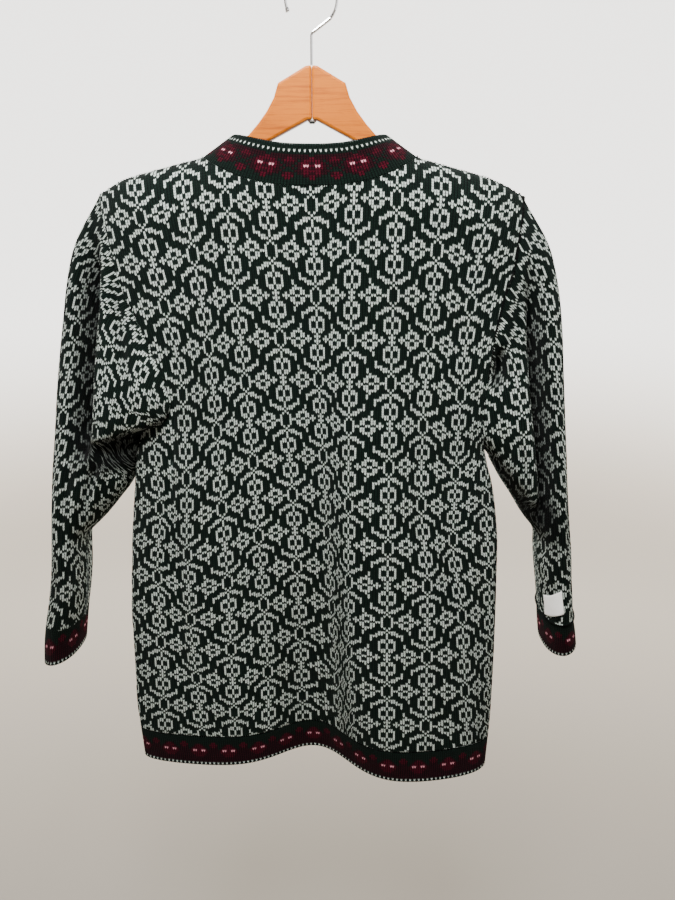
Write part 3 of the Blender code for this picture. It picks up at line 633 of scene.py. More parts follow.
BODY_CHART = BodyChart(
    (
        "..###..##",
        "..#..##..",
        "..#..##..",
        ".#....###",
        "#.......#",
        ".###.....",
        "#.###....",
        "#...###..",
        "#.....#..",
        ".##...#..",
        ".###.....",
        "#..#.....",
        "#..#...#.",
        "#..#...#.",
        ".###....#",
        ".##....##",
        "#.....##.",
        "##..#.##.",
        "#..###..#",
    )
)
COLLAR_CHART = BandChart(
    16,
    (
        "GGGGGGGG",
        "GGGGGGGG",
        "DDDDDDDD",
        "GGGGGGGG",
        "GBBBBBBB",
        "RBBBBBBR",
        "RRRBGBRR",
        "BRRRBGBB",
        "RPPRBBGB",
        "BRRRBGBG",
        "RRRBBBGG",
        "BRRBBGBR",
        "RBBGGGRR",
        "RGGGGGGR",
        "GGGGGGGG",
        "GGGGGGGG",
        "GGGGGGGG",
    ),
)
HEM_CHART = BandChart(
    14,
    (
        "GGGGGGG",
        "GGGGGGG",
        "GGGGGGG",
        "GGGGGGR",
        "RBGGGRR",
        "RRBGGBR",
        "RRRBGBB",
        "RPPRBBB",
        "RRRRBBB",
        "RRRBBBB",
        "RRBBBBB",
        "BBBBBBB",
        "BBBBBBB",
        "BBBBBBB",
        "DDDDDDD",
        "BGGGGGG",
    ),
)
PLAIN_BAND_CHART = BandChart(2, ("B",))
BAND_STITCH = 0.00264

# The chart's wale at the first stitch of each hem band and of the cuffs, and at the middle of the neck
HEM_SHIFT = {Face.BACK: 5, Face.FRONT: 3}
CUFF_SHIFT = 3
NECK_SHIFT = 8


def smooth_read(x: np.ndarray, xs: Sequence[float], ys: Sequence[float]) -> np.ndarray:
    """Reads a smooth curve through points.

    Args:
        x: where the curve is read.
        xs: the points' places, rising.
        ys: the points' values.

    Returns:
        The curve's values at x, with the end values held past the ends.
    """
    xs = np.asarray(xs, float)
    ys = np.asarray(ys, float)
    x = np.clip(np.asarray(x, float), xs[0], xs[-1])
    chord = np.diff(ys) / np.diff(xs)
    slope = np.empty_like(ys)
    slope[0], slope[-1] = chord[0], chord[-1]
    same_way = chord[:-1] * chord[1:] > 0
    middle = 2 * chord[:-1] * chord[1:] / np.where(same_way, chord[:-1] + chord[1:], 1)
    slope[1:-1] = np.where(same_way, middle, 0)
    at = np.clip(np.searchsorted(xs, x) - 1, 0, len(xs) - 2)
    span = xs[at + 1] - xs[at]
    t = (x - xs[at]) / span
    return (
        ys[at] * (1 + 2 * t) * (1 - t) ** 2
        + ys[at + 1] * t * t * (3 - 2 * t)
        + span * (slope[at] * t * (1 - t) ** 2 - slope[at + 1] * t * t * (1 - t))
    )


def run_on_read(x: np.ndarray, xs: Sequence[float], ys: Sequence[float]) -> np.ndarray:
    """Reads a smooth curve through points that runs straight on past its ends."""
    x = np.asarray(x, float)
    low = (ys[1] - ys[0]) / (xs[1] - xs[0]) * np.minimum(x - xs[0], 0)
    high = (ys[-1] - ys[-2]) / (xs[-1] - xs[-2]) * np.maximum(x - xs[-1], 0)
    return smooth_read(x, xs, ys) + low + high


def read_table(table: Sequence, name: str, z: np.ndarray) -> np.ndarray:
    """One field of a table of rows with heights, read smoothly at the height z."""
    rows = sorted(table, key=lambda row: row.z)
    return smooth_read(z, [row.z for row in rows], [getattr(row, name) for row in rows])


def running(pieces: np.ndarray, axis: int) -> np.ndarray:
    """Running lengths of cloth along an axis, from 0, out of the lengths of its pieces."""
    start = np.zeros_like(pieces.take([0], axis=axis))
    return np.concatenate([start, pieces.cumsum(axis=axis)], axis=axis)


def spread_evenly(places: np.ndarray, lengths: np.ndarray, wales: int) -> np.ndarray:
    """Places of the wales' edges and middles, spread evenly along the cloth of each row.

    Args:
        places: one coordinate of points down the first axis, for each row on the second.
        lengths: the running lengths of cloth to them.
        wales: how many stitches each row has.

    Returns:
        The coordinate at each edge and middle, for each row.
    """
    shares = np.linspace(0, 1, 2 * wales + 1)
    rows = range(lengths.shape[1])
    return np.stack([np.interp(shares * lengths[-1, j], lengths[:, j], places[:, j]) for j in rows], axis=1)


def smoothstep(t: np.ndarray) -> np.ndarray:
    """A soft step from 0 at t = 0 to 1 at t = 1."""
    t = np.clip(t, 0.0, 1.0)
    return t * t * (3 - 2 * t)


def unit(vectors: np.ndarray) -> np.ndarray:
    """Vectors of length 1, and of length 0 where there is no direction."""
    length = np.linalg.norm(vectors, axis=-1, keepdims=True)
    return np.where(length > 1e-12, vectors / np.maximum(length, 1e-12), 0.0)


def shoulder_height(x: np.ndarray) -> np.ndarray:
    """The height of the shoulder seam at x, run on upwards past the neck points."""
    x = np.asarray(x, float)
    heights = []
    for side in Side:
        points = SHOULDERS[side]
        seam = smooth_read(np.abs(x), [p.x for p in points], [p.z for p in points])
        heights.append(seam + NECK_LIFT * np.maximum(points[0].x - np.abs(x), 0))
    return np.where(x >= 0, heights[0], heights[1])


def outline(x: np.ndarray, z: np.ndarray) -> np.ndarray:
    """How full the body is at x: 1 in the middle, 0 at the side edge."""
    half = np.where(x >= 0, read_table(SECTIONS, "left", z), read_table(SECTIONS, "right", z))
    across = np.clip(np.abs(x) / half, 0, 1) ** OUTLINE_POWER
    return (1 - across) ** (1 / OUTLINE_POWER)


def shoulder_fullness(x: np.ndarray, z: np.ndarray) -> np.ndarray:
    """How full the body is below the shoulder seam: 0 at the seam, 1 well below it."""
    drop = np.clip((shoulder_height(x) - z) / SHOULDER_ROUND, 0, 1)
    return np.sqrt(1 - (1 - drop) ** 2)


def soft_folds(folds: Sequence[SoftFold], x: np.ndarray, z: np.ndarray) -> np.ndarray:
    """How deep the soft folds draw the cloth in at each point."""
    total = np.zeros(np.broadcast(x, z).shape)
    for fold in folds:
        down = (fold.top[1] - z) / (fold.top[1] - fold.bottom[1])
        middle = fold.top[0] + (fold.bottom[0] - fold.top[0]) * down
        ends = smoothstep((fold.top[1] + 0.02 - z) / fold.fade)
        ends = ends * smoothstep((z - fold.bottom[1] + 0.02) / fold.fade)
        total = total + fold.depth * ends * np.exp(-(((x - middle) / fold.width) ** 2))
    return total


def back_depth(x: np.ndarray, z: np.ndarray) -> np.ndarray:
    """y of the outside of the back."""
    full = outline(x, z)
    y = read_table(SECTIONS, "side", z)
    y = y + read_table(SECTIONS, "back", z) * full * shoulder_fullness(x, z)
    fold = {name: read_table(BACK_FOLD, name, z) for name in BackFold._fields[1:]}
    step = 1 / (1 + np.exp(np.clip((x - fold["x"]) / fold["width"], -40, 40)))
    trough = np.exp(-(((x - fold["trough_x"]) / fold["trough_width"]) ** 2))
    y = y + (fold["step"] * step - fold["trough"] * trough) * np.sqrt(full)
    return y - soft_folds(BACK_SOFT_FOLDS, x, z) * np.sqrt(full)


def front_depth(x: np.ndarray, z: np.ndarray) -> np.ndarray:
    """y of the outside of the fronts."""
    full = outline(x, z)
    y = read_table(SECTIONS, "side", z)
    y = y - read_table(SECTIONS, "front", z) * full * shoulder_fullness(x, z)
    grown = smoothstep((FRONT_WAVE_TOP - z) / (FRONT_WAVE_TOP - HEM_BOTTOM))
    for wave in FRONT_WAVES:
        bump = np.exp(-(((x - wave.x) / wave.width) ** 2))
        y = y - wave.depth * grown * np.sqrt(full) * bump
    return y + soft_folds(FRONT_SOFT_FOLDS, x, z) * np.sqrt(full)


def body_depth(face: Face, x: np.ndarray, z: np.ndarray) -> np.ndarray:
    """y of the outside of one face of the body."""
    return back_depth(x, z) if face is Face.BACK else front_depth(x, z)


def armhole_x(side: Side, face: Face, z: np.ndarray) -> np.ndarray:
    """Distance out from the middle of an armhole seam, at the height z."""
    return read_table(ARMHOLES[side], face.name.lower(), z)


def armhole_curve(side: Side, face: Face, share: np.ndarray) -> np.ndarray:
    """Points of an armhole seam at shares of the way down."""
    points = ARMHOLES[side]
    z = points[0].z + (points[-1].z - points[0].z) * np.asarray(share, float)
    x = side.value * armhole_x(side, face, z)
    return np.stack([x, body_depth(face, x, z), z], axis=-1)


def panel_edge(side: Side, face: Face, z: np.ndarray) -> np.ndarray:
    """Distance out from the middle of a panel's side edge, at the height z."""
    low = read_table(SECTIONS, side.word, z)
    under = ARMHOLES[side][-1].z
    return np.where(z < under, low, armhole_x(side, face, z))


def under_sleeve(side: Side, z: np.ndarray) -> np.ndarray:
    """How far a panel's edge runs on as a seam allowance beneath the sleeve."""
    points = ARMHOLES[side]
    lower = smoothstep((z - points[-1].z) / 0.010)
    return ALLOWANCE * lower * smoothstep((points[0].z - z) / 0.010)


def neck_half(x: np.ndarray) -> np.ndarray:
    """How far out the neck seam meets the shoulder seam, on the side where x lies."""
    return np.where(x >= 0, SHOULDERS[Side.LEFT][0].x, SHOULDERS[Side.RIGHT][0].x)


def neck_height(x: np.ndarray, face: Face) -> np.ndarray:
    """The height of a panel's neck seam at x."""
    top = SHOULDERS[Side.LEFT][0].z
    across = np.clip(np.abs(x) / neck_half(x), 0, 1)
    if face is Face.BACK:
        return BACK_NECK_Z + (top - BACK_NECK_Z) * across**BACK_NECK_RISE_POWER
    return FRONT_NECK_Z + (top - FRONT_NECK_Z) * across**FRONT_NECK_RISE_POWER


def top_height(x: np.ndarray, face: Face) -> np.ndarray:
    """Height of a panel's top edge: the shoulder seam, and the neck seam between."""
    return np.where(np.abs(x) < neck_half(x) - 1e-6, neck_height(x, face), shoulder_height(x))


def crease_depth(side: Side, x: np.ndarray, z: np.ndarray) -> np.ndarray:
    """How far the creases draw in the back of a sleeve at a point."""
    total = np.zeros_like(x)
    for crease in CREASES[side]:
        line = sorted(crease.line, key=lambda p: p[1])
        heights = [p[1] for p in line]
        off = side.value * x - smooth_read(z, heights, [p[0] for p in line])
        shape = np.exp(-((off / np.where(off > 0, crease.rolled, crease.steep)) ** 2))
        ends = smoothstep((z - heights[0]) / crease.lower_fade)
        ends = ends * smoothstep((heights[-1] - z) / crease.upper_fade)
        total = total + crease.depth * shape * ends
    return total


def puff_rise(side: Side, x: np.ndarray, z: np.ndarray) -> np.ndarray:
    """How high a point is above the lower edge of the spare cloth behind the underarm."""
    puff = PUFFS[side]
    along = np.clip((side.value * x - puff.in_x) / (puff.out_x - puff.in_x), 0, 1)
    return z - (puff.in_z + (puff.out_z - puff.in_z) * along)


def puff_reach(side: Side, x: np.ndarray, z: np.ndarray) -> np.ndarray:
    """How far the spare cloth behind the underarm stands out at a point."""
    puff, rise = PUFFS[side], puff_rise(side, x, z)
    shape = np.exp(-((rise / np.where(rise > 0, puff.above, puff.below)) ** 2))
    middle = (puff.in_x + puff.out_x) / 2
    spread = np.exp(-(((side.value * x - middle) / PUFF_SPREAD) ** 4))
    hollow = np.exp(-(((rise + 2.4 * puff.below) / (1.5 * puff.below)) ** 2))
    return (puff.reach * shape - puff.hollow * hollow) * spread


def sleeve_gloom(side: Side, x: np.ndarray, z: np.ndarray) -> np.ndarray:
    """How much painted shade darkens the yarn down in the folds of a sleeve's back, from 0 to 1."""
    puff = PUFFS[side]
    # Painted shadow below the lower edge of the spare cloth behind the underarm, and painted shade in the
    # creases and soft folds
    below = puff_rise(side, x, z) + 3.4 * puff.below
    under = np.exp(-((below / (3.2 * puff.below)) ** 4))
    middle = 0.35 * puff.in_x + 0.65 * puff.out_x
    under = under * np.exp(-(((side.value * x - middle) / (1.3 * PUFF_SPREAD)) ** 4))
    deepest = CREASES[side][0].depth
    in_crease = np.clip(crease_depth(side, x, z) / deepest, 0, 1)
    in_fold = np.clip(soft_folds(SLEEVE_SOFT_FOLDS[side], x, z) / DARKEST_FOLD_DEPTH, 0, 1)
    painted_dark = CREASE_PAINTED_SHADE * in_crease**0.7 + PUFF_PAINTED_SHADE * under + FOLD_PAINTED_SHADE * in_fold
    return np.clip(painted_dark, 0, MOST_PAINTED_SHADE)


def sleeve_field(side: Side, name: str, ring: np.ndarray) -> np.ndarray:
    """One field of a sleeve's rings, read smoothly along the sleeve."""
    rings = SLEEVES[side]
    return smooth_read(ring, range(len(rings)), [getattr(r, name) for r in rings])


def sleeve_place(side: Side, face: Face, ring: np.ndarray, share: np.ndarray) -> np.ndarray:
    """Points on one half of a sleeve.

    Args:
        side: which sleeve.
        face: its back or its front half.
        ring: how far along it, in rings from the armhole.
        share: how far round, from 0 on the outer edge to 1 on the inner edge.

    Returns:
        The points, with x, y and z on the last axis.
    """
    ring, share = np.broadcast_arrays(np.asarray(ring, float), np.asarray(share, float))
    swing = 2 * np.sqrt(np.clip(share * (1 - share), 0, None))
    out_x, in_x = sleeve_field(side, "out_x", ring), sleeve_field(side, "in_x", ring)
    out_z, in_z = sleeve_field(side, "out_z", ring), sleeve_field(side, "in_z", ring)
    x = side.value * (out_x * (1 - share) + in_x * share)
    z = out_z * (1 - share) + in_z * share
    first = SLEEVES[side][0]
    straight_x = side.value * (first.out_x * (1 - share) + first.in_x * share)
    straight_z = first.out_z * (1 - share) + first.in_z * share
    seam = armhole_curve(side, face, share)
    free = smoothstep(ring / ARMHOLE_BLEND)
    x = x + (1 - free) * (seam[..., 0] - straight_x)
    z = z + (1 - free) * (seam[..., 2] - straight_z)
    y = sleeve_field(side, "middle", ring)
    y = y + face.value * sleeve_field(side, "depth", ring) * swing**0.85
    y = seam[..., 1] * (1 - free) + y * free
    if face is Face.BACK:
        off_seam = 1 - np.exp(-((ring / 0.3) ** 2))
        folds = puff_reach(side, x, z) - crease_depth(side, x, z) - soft_folds(SLEEVE_SOFT_FOLDS[side], x, z)
        y = y + off_seam * swing * folds
    return np.stack([x, y, z], axis=-1)


def sleeve_round(side: Side, ring: np.ndarray, turn: np.ndarray) -> np.ndarray:
    """Points on a sleeve at turns from the outer edge over the back and round."""
    ring, turn = np.broadcast_arrays(np.asarray(ring, float), np.asarray(turn, float))
    share = (1 - np.cos(turn)) / 2
    back = sleeve_place(side, Face.BACK, ring, share)
    front = sleeve_place(side, Face.FRONT, ring, share)
    return np.where((np.sin(turn) >= 0)[..., None], back, front)


def locate_on_sleeve(side: Side, face: Face, x: np.ndarray, z: np.ndarray) -> tuple[np.ndarray, np.ndarray]:
    """Finds the ring and the share of points of a sleeve from their x and z.

    The nearest straight ring line gives a first guess, and Newton steps do the rest.
    """
    shape = x.shape
    out, z = (side.value * x).ravel(), z.ravel()
    rings = np.linspace(0, LAST_RING, 12 * LAST_RING + 1)
    ox, oz = sleeve_field(side, "out_x", rings), sleeve_field(side, "out_z", rings)
    dx, dz = sleeve_field(side, "in_x", rings) - ox, sleeve_field(side, "in_z", rings) - oz
    along = ((out[:, None] - ox) * dx + (z[:, None] - oz) * dz) / (dx**2 + dz**2)
    along = np.clip(along, 0, 1)
    off = np.hypot(out[:, None] - ox - along * dx, z[:, None] - oz - along * dz)
    nearest = off.argmin(axis=1)
    ring = rings[nearest]
    share = along[np.arange(len(ring)), nearest]
    step = 0.002
    for _ in range(7):
        here = sleeve_place(side, face, ring, share)
        ring_side = np.where(ring > LAST_RING - 1, -step, step)
        share_side = np.where(share > 0.5, -step, step)
        by_ring = (sleeve_place(side, face, ring + ring_side, share) - here) / ring_side[:, None]
        by_share = (sleeve_place(side, face, ring, share + share_side) - here) / share_side[:, None]
        miss_x, miss_z = side.value * out - here[:, 0], z - here[:, 2]
        a, b, c, d = by_ring[:, 0], by_share[:, 0], by_ring[:, 2], by_share[:, 2]
        size = a * d - b * c
        size = np.where(np.abs(size) < 1e-9, 1e-9, size)
        ring = np.clip(ring + np.clip((miss_x * d - miss_z * b) / size, -0.6, 0.6), 0, LAST_RING)
        share = np.clip(share + np.clip((miss_z * a - miss_x * c) / size, -0.1, 0.1), 0, 1)
    return ring.reshape(shape), share.reshape(shape)


def grid_normals(points: np.ndarray, ring: bool = False) -> np.ndarray:
    """Unit normals of a grid of points. A ring closes along its first axis."""
    if ring:
        loop = points[:-1]
        along = np.roll(loop, -1, axis=0) - np.roll(loop, 1, axis=0)
        along = np.concatenate([along, along[:1]])
    else:
        along = np.gradient(points, axis=0)
    return unit(np.cross(along, np.gradient(points, axis=1)))


@dataclass
class StitchField:
    """The lie of one knitted piece.

    Attributes:
        points: places of the wales' edges and middles, row by row, from the top row
            down: an array of (2 * wales + 1, rows + 1, 3). A half wale past them is knitted
            nowhere and only lengthens the lining.
        normals: the outward directions there.
        first_wale: the chart's wale of the first stitch.
        first_row: the chart's row of the first row.
        gloom: how much painted shade darkens the yarn in the folds, from 0 to 1, for each point.
    """

    points: np.ndarray
    normals: np.ndarray
    first_wale: int = 0
    first_row: int = 0
    gloom: np.ndarray | None = None

    @property
    def wales(self) -> int:
        """How many stitches a row has."""
        return (self.points.shape[0] - 1) // 2

    @property
    def rows(self) -> int:
        """How many rows there are."""
        return self.points.shape[1] - 1


def face_outwards(normals: np.ndarray, outward: np.ndarray) -> np.ndarray:
    """Turns normals to the side that outward points to."""
    score = (normals * outward).sum(axis=-1, keepdims=True)
    return normals * np.where(score >= 0, 1.0, -1.0)


def grid_mesh(name: str, points: np.ndarray) -> tuple[bpy.types.Mesh, np.ndarray, np.ndarray]:
    """A grid mesh laid on points, and the whole-numbered column and row of each of its vertices."""
    columns, rows = points.shape[0] - 1, points.shape[1] - 1
    grid = bmesh.new()
    bmesh.ops.create_grid(grid, x_segments=columns, y_segments=rows, size=0.5)
    mesh = bpy.data.meshes.new(name)
    grid.to_mesh(mesh)
    grid.free()
    places = np.empty(len(mesh.vertices) * 3)
    mesh.vertices.foreach_get("co", places)
    places = places.reshape(-1, 3)
    column = np.rint((places[:, 0] + 0.5) * columns).astype(int)
    row = rows - np.rint((places[:, 1] + 0.5) * rows).astype(int)
    mesh.vertices.foreach_set("co", points[column, row].ravel())
    return mesh, column, row


def lay_out(mesh: bpy.types.Mesh, name: str, across: np.ndarray, along: np.ndarray) -> np.ndarray:
    """Gives a mesh a UV map from two numbers for each vertex.

    Args:
        mesh: the mesh.
        name: the map's name.
        across: each vertex's first number.
        along: each vertex's second number.

    Returns:
        The vertex at each corner of the faces.
    """
    corners = np.empty(len(mesh.loops), int)
    mesh.loops.foreach_get("vertex_index", corners)
    layout = np.stack([across[corners], along[corners]], axis=-1)
    mesh.uv_layers.new(name=name).uv.foreach_set("vector", layout.ravel())
    return corners


def add_object(name: str, mesh: bpy.types.Mesh, material: bpy.types.Material) -> bpy.types.Object:
    """Puts a mesh into the scene as an object at the origin."""
    mesh.materials.append(material)
    mesh.shade_smooth()
    piece = bpy.data.objects.new(name, mesh)
    bpy.context.scene.collection.objects.link(piece)
    return piece


def knit(
    name: str,
    lie: StitchField,
    chart: BodyChart | BandChart,
    material: bpy.types.Material,
    wall: float = WALL,
) -> bpy.types.Object:
    """Knits one piece: two faces to a stitch, with a rim as thick as the cloth.

    Args:
        name: the piece's name.
        lie: where its stitches lie.
        chart: the yarn of each stitch.
        material: the yarn's material.
        wall: the cloth's thickness at the rims.

    Returns:
        The piece.
    """
    points = lie.points.copy()
    points[1::2, :-1] = (1 - V_DROP) * points[1::2, :-1] + V_DROP * points[1::2, 1:]
    relief = np.full(points.shape[0], -SUNK)
    relief[1::2] = RAISED
    points += lie.normals * relief[:, None, None]
    whole = points[: 2 * lie.wales + 1]
    mesh, column, row = grid_mesh(name, whole)
    corners = lay_out(mesh, "stitches", column / 2, -row.astype(float))
    face_column = column[corners].reshape(-1, 4).min(axis=1)
    face_row = row[corners].reshape(-1, 4).min(axis=1)
    yarns = chart.yarns(lie.first_wale + face_column // 2, lie.first_row + face_row)
    shade = np.random.default_rng(len(name) + lie.wales).normal(1.0, 0.07, (lie.wales, lie.rows))
    tints = YARN_COLOURS[yarns] * shade[face_column // 2, face_row][:, None]
    # Painted shade: the yarn is darkened where the folds lie in shadow
    if lie.gloom is not None:
        tints = tints * (1 - lie.gloom[face_column, face_row])[:, None]
    tints = np.concatenate([tints, np.ones((len(tints), 1))], axis=1)
    # The yarn attribute holds the yarn's colours, with painted shade in the sleeves' folds
    colours = mesh.color_attributes.new("yarn", "FLOAT_COLOR", "CORNER")
    colours.data.foreach_set("color", np.repeat(np.clip(tints, 0, 1), 4, axis=0).ravel())
    add_rim(mesh, lie, wall)
    return add_object(name, mesh, material)


def put_in_order(parts: bmesh.types.BMVertSeq, key: Callable[[object], Sequence[float]]) -> None:
    """Sorts the vertices, edges or faces of a mesh by a key."""
    ranks = {part: rank for rank, part in enumerate(sorted(parts, key=key))}
    parts.sort(key=ranks.get)
    parts.index_update()


def add_rim(mesh: bpy.types.Mesh, lie: StitchField, wall: float) -> None:
    """Merges the stitches that an edge cuts off, and turns the edges in."""
    work = bmesh.new()
    work.from_mesh(mesh)
    bmesh.ops.remove_doubles(work, verts=work.verts, dist=MERGE)
    bmesh.ops.dissolve_degenerate(work, dist=MERGE / 3, edges=work.edges)
    slivers = [f for f in work.faces if f.calc_area() < SLIVER]
    bmesh.ops.delete(work, geom=slivers, context="FACES")
    loose = [v for v in work.verts if not v.link_faces]
    bmesh.ops.delete(work, geom=loose, context="VERTS")
    work.normal_update()
    middle_column, middle_row = lie.wales, lie.rows // 2
    probe = Vector(lie.points[middle_column, middle_row])
    outward = Vector(lie.normals[middle_column, middle_row])
    nearest = min(work.faces, key=lambda f: (f.calc_center_median() - probe).length_squared)
    if nearest.normal.dot(outward) < 0:
        bmesh.ops.reverse_faces(work, faces=work.faces)
        work.normal_update()
    tint = work.loops.layers.float_color["yarn"]
    layout = work.loops.layers.uv["stitches"]
    edges = [e for e in work.edges if e.is_boundary]
    inward = {v: -v.normal * wall for e in edges for v in e.verts}
    made = bmesh.ops.extrude_edge_only(work, edges=edges)["geom"]
    rim = [f for f in made if isinstance(f, bmesh.types.BMFace)]
    for rim_face in rim:
        seams = (e for e in rim_face.edges if len(e.link_faces) == 2)
        shared = next(e for e in seams if any(f not in made for f in e.link_faces))
        donor = next(f for f in shared.link_faces if f is not rim_face)
        colour = donor.loops[0][tint]
        if colour[0] > RIM_BRIGHTEST:
            colour = (*Yarn.GREEN.colour, 1.0)
        for corner in rim_face.loops:
            corner[tint] = colour
            corner[layout].uv = donor.loops[0][layout].uv
    for old, shift in inward.items():
        for edge in old.link_edges:
            other = edge.other_vert(old)
            if other not in inward and other.co == old.co:
                other.co = old.co + shift
                break
    # The extrusion adds its parts in an order that changes from run to run
    put_in_order(work.verts, lambda vert: tuple(vert.co))
    put_in_order(work.edges, lambda edge: sorted(vert.index for vert in edge.verts))
    put_in_order(work.faces, lambda face: sorted(vert.index for vert in face.verts))
    work.to_mesh(mesh)
    work.free()


def line_inside(
    name: str,
    lie: StitchField,
    material: bpy.types.Material,
    wall: float = WALL,
    steps: tuple[int, int] = (8, 6),
) -> bpy.types.Object:
    """The plain inner face of a knitted piece, with the floats of its pattern."""
    counts = zip(lie.points.shape, steps)
    columns, rows = (np.unique(np.append(np.arange(0, size, step), size - 1)) for size, step in counts)
    points = lie.points[columns][:, rows] - lie.normals[columns][:, rows] * wall
    mesh, column, row = grid_mesh(name, points)
    lay_out(mesh, "stitches", columns[column] / 2, -rows[row].astype(float))
    work = bmesh.new()
    work.from_mesh(mesh)
    bmesh.ops.remove_doubles(work, verts=work.verts, dist=MERGE)
    work.to_mesh(mesh)
    work.free()
    return add_object(name, mesh, material)


@dataclass(frozen=True)
class Finish:
    """The look of a surface.

    Attributes:
        name: the material's name.
        roughness: of the surface.
        metallic: 1 for bare metal.
        coat: weight of a clear coat.
    """

    name: str
    roughness: float
    metallic: float = 0.0
    coat: float = 0.0


class Nodes:
    """Builds the nodes of one material."""

    def __init__(self, finish: Finish) -> None:
        self.material = bpy.data.materials.new(finish.name)
        self.material.use_nodes = True
        self.tree = self.material.node_tree
        self.surface = self.tree.nodes["Principled BSDF"]
        self.surface.inputs["Roughness"].default_value = finish.roughness
        self.surface.inputs["Metallic"].default_value = finish.metallic
        self.surface.inputs["Coat Weight"].default_value = finish.coat

    def node(self, kind: str, **settings: object) -> bpy.types.Node:
        """Adds a node.

        Args:
            kind: the node's type name.
            settings: properties of the node, by name.

        Returns:
            The node.
        """
        made = self.tree.nodes.new(kind)
        for name, value in settings.items():
            setattr(made, name, value)
        return made

    def feed(self, socket: bpy.types.NodeSocket, value: object) -> None:
        """Links an output to a socket, or sets a constant on it."""
        if isinstance(value, bpy.types.NodeSocket):
            self.tree.links.new(value, socket)
        else:
            socket.default_value = value

    def maths(self, operation: str, *values: object) -> bpy.types.NodeSocket:
        """One Math node's result."""
        made = self.node("ShaderNodeMath", operation=operation)
        for socket, value in zip(made.inputs, values):
            self.feed(socket, value)
        return made.outputs[0]

    def arch(self, value: object) -> bpy.types.NodeSocket:
        """0 at whole numbers, and 1 half way between them."""
        return self.maths("SINE", self.maths("MULTIPLY", self.maths("FRACT", value), math.pi))

    def split(self, vector: object) -> tuple[bpy.types.NodeSocket, ...]:
        """The three numbers of a vector."""
        made = self.node("ShaderNodeSeparateXYZ")
        self.feed(made.inputs[0], vector)
        return tuple(made.outputs)

    def fade(
        self, value: object, reach: tuple[float, float], ends: tuple[float, float]
    ) -> bpy.types.NodeSocket:
        """Goes softly from one end to the other as a value crosses its reach."""
        made = self.node("ShaderNodeMapRange", interpolation_type="SMOOTHSTEP")
        names = ("Value", "From Min", "From Max", "To Min", "To Max")
        for name, number in zip(names, (value, *reach, *ends)):
            self.feed(made.inputs[name], number)
        return made.outputs[0]

    def noise(
        self, where: object, scale: float, detail: float = 2.0, rough: float = 0.5
    ) -> bpy.types.NodeSocket:
        """The value of a Noise texture."""
        made = self.node("ShaderNodeTexNoise")
        self.feed(made.inputs["Vector"], where)
        made.inputs["Scale"].default_value = scale
        made.inputs["Detail"].default_value = detail
        made.inputs["Roughness"].default_value = rough
        return made.outputs["Fac"]

    def ramp(self, value: object, stops: Sequence[tuple[float, Colour]]) -> bpy.types.NodeSocket:
        """A colour ramp read at a value."""
        made = self.node("ShaderNodeValToRGB")
        elements = made.color_ramp.elements
        while len(elements) < len(stops):
            elements.new(0.5)
        for element, (place, colour) in zip(elements, stops):
            element.position = place
            element.color = (*colour, 1.0)
        self.feed(made.inputs[0], value)
        return made.outputs[0]

    def spread(self, value: object, low: float, high: float) -> bpy.types.NodeSocket:
        """Maps 0 to 1 onto low to high."""
        return self.maths("MULTIPLY_ADD", value, high - low, low)

    def scaled(self, colour: object, factor: object) -> bpy.types.NodeSocket:
        """A colour times a value."""
        made = self.node("ShaderNodeVectorMath", operation="SCALE")
        self.feed(made.inputs[0], colour)
        self.feed(made.inputs["Scale"], factor)
        return made.outputs[0]

    def bump(self, height: object, distance: float, strength: float) -> bpy.types.NodeSocket:
        """A bumped normal."""
        made = self.node("ShaderNodeBump")
        self.feed(made.inputs["Height"], height)
        made.inputs["Distance"].default_value = distance
        made.inputs["Strength"].default_value = strength
        return made.outputs[0]

    def coordinates(self, name: str) -> bpy.types.NodeSocket:
        """Texture coordinates of one kind."""
        return self.node("ShaderNodeTexCoord").outputs[name]

    def paint(self, colour: object, normal: object = None, roughness: object = None) -> None:
        """Feeds the surface."""
        self.feed(self.surface.inputs["Base Color"], colour)
        if normal is not None:
            self.feed(self.surface.inputs["Normal"], normal)
        if roughness is not None:
            self.feed(self.surface.inputs["Roughness"], roughness)


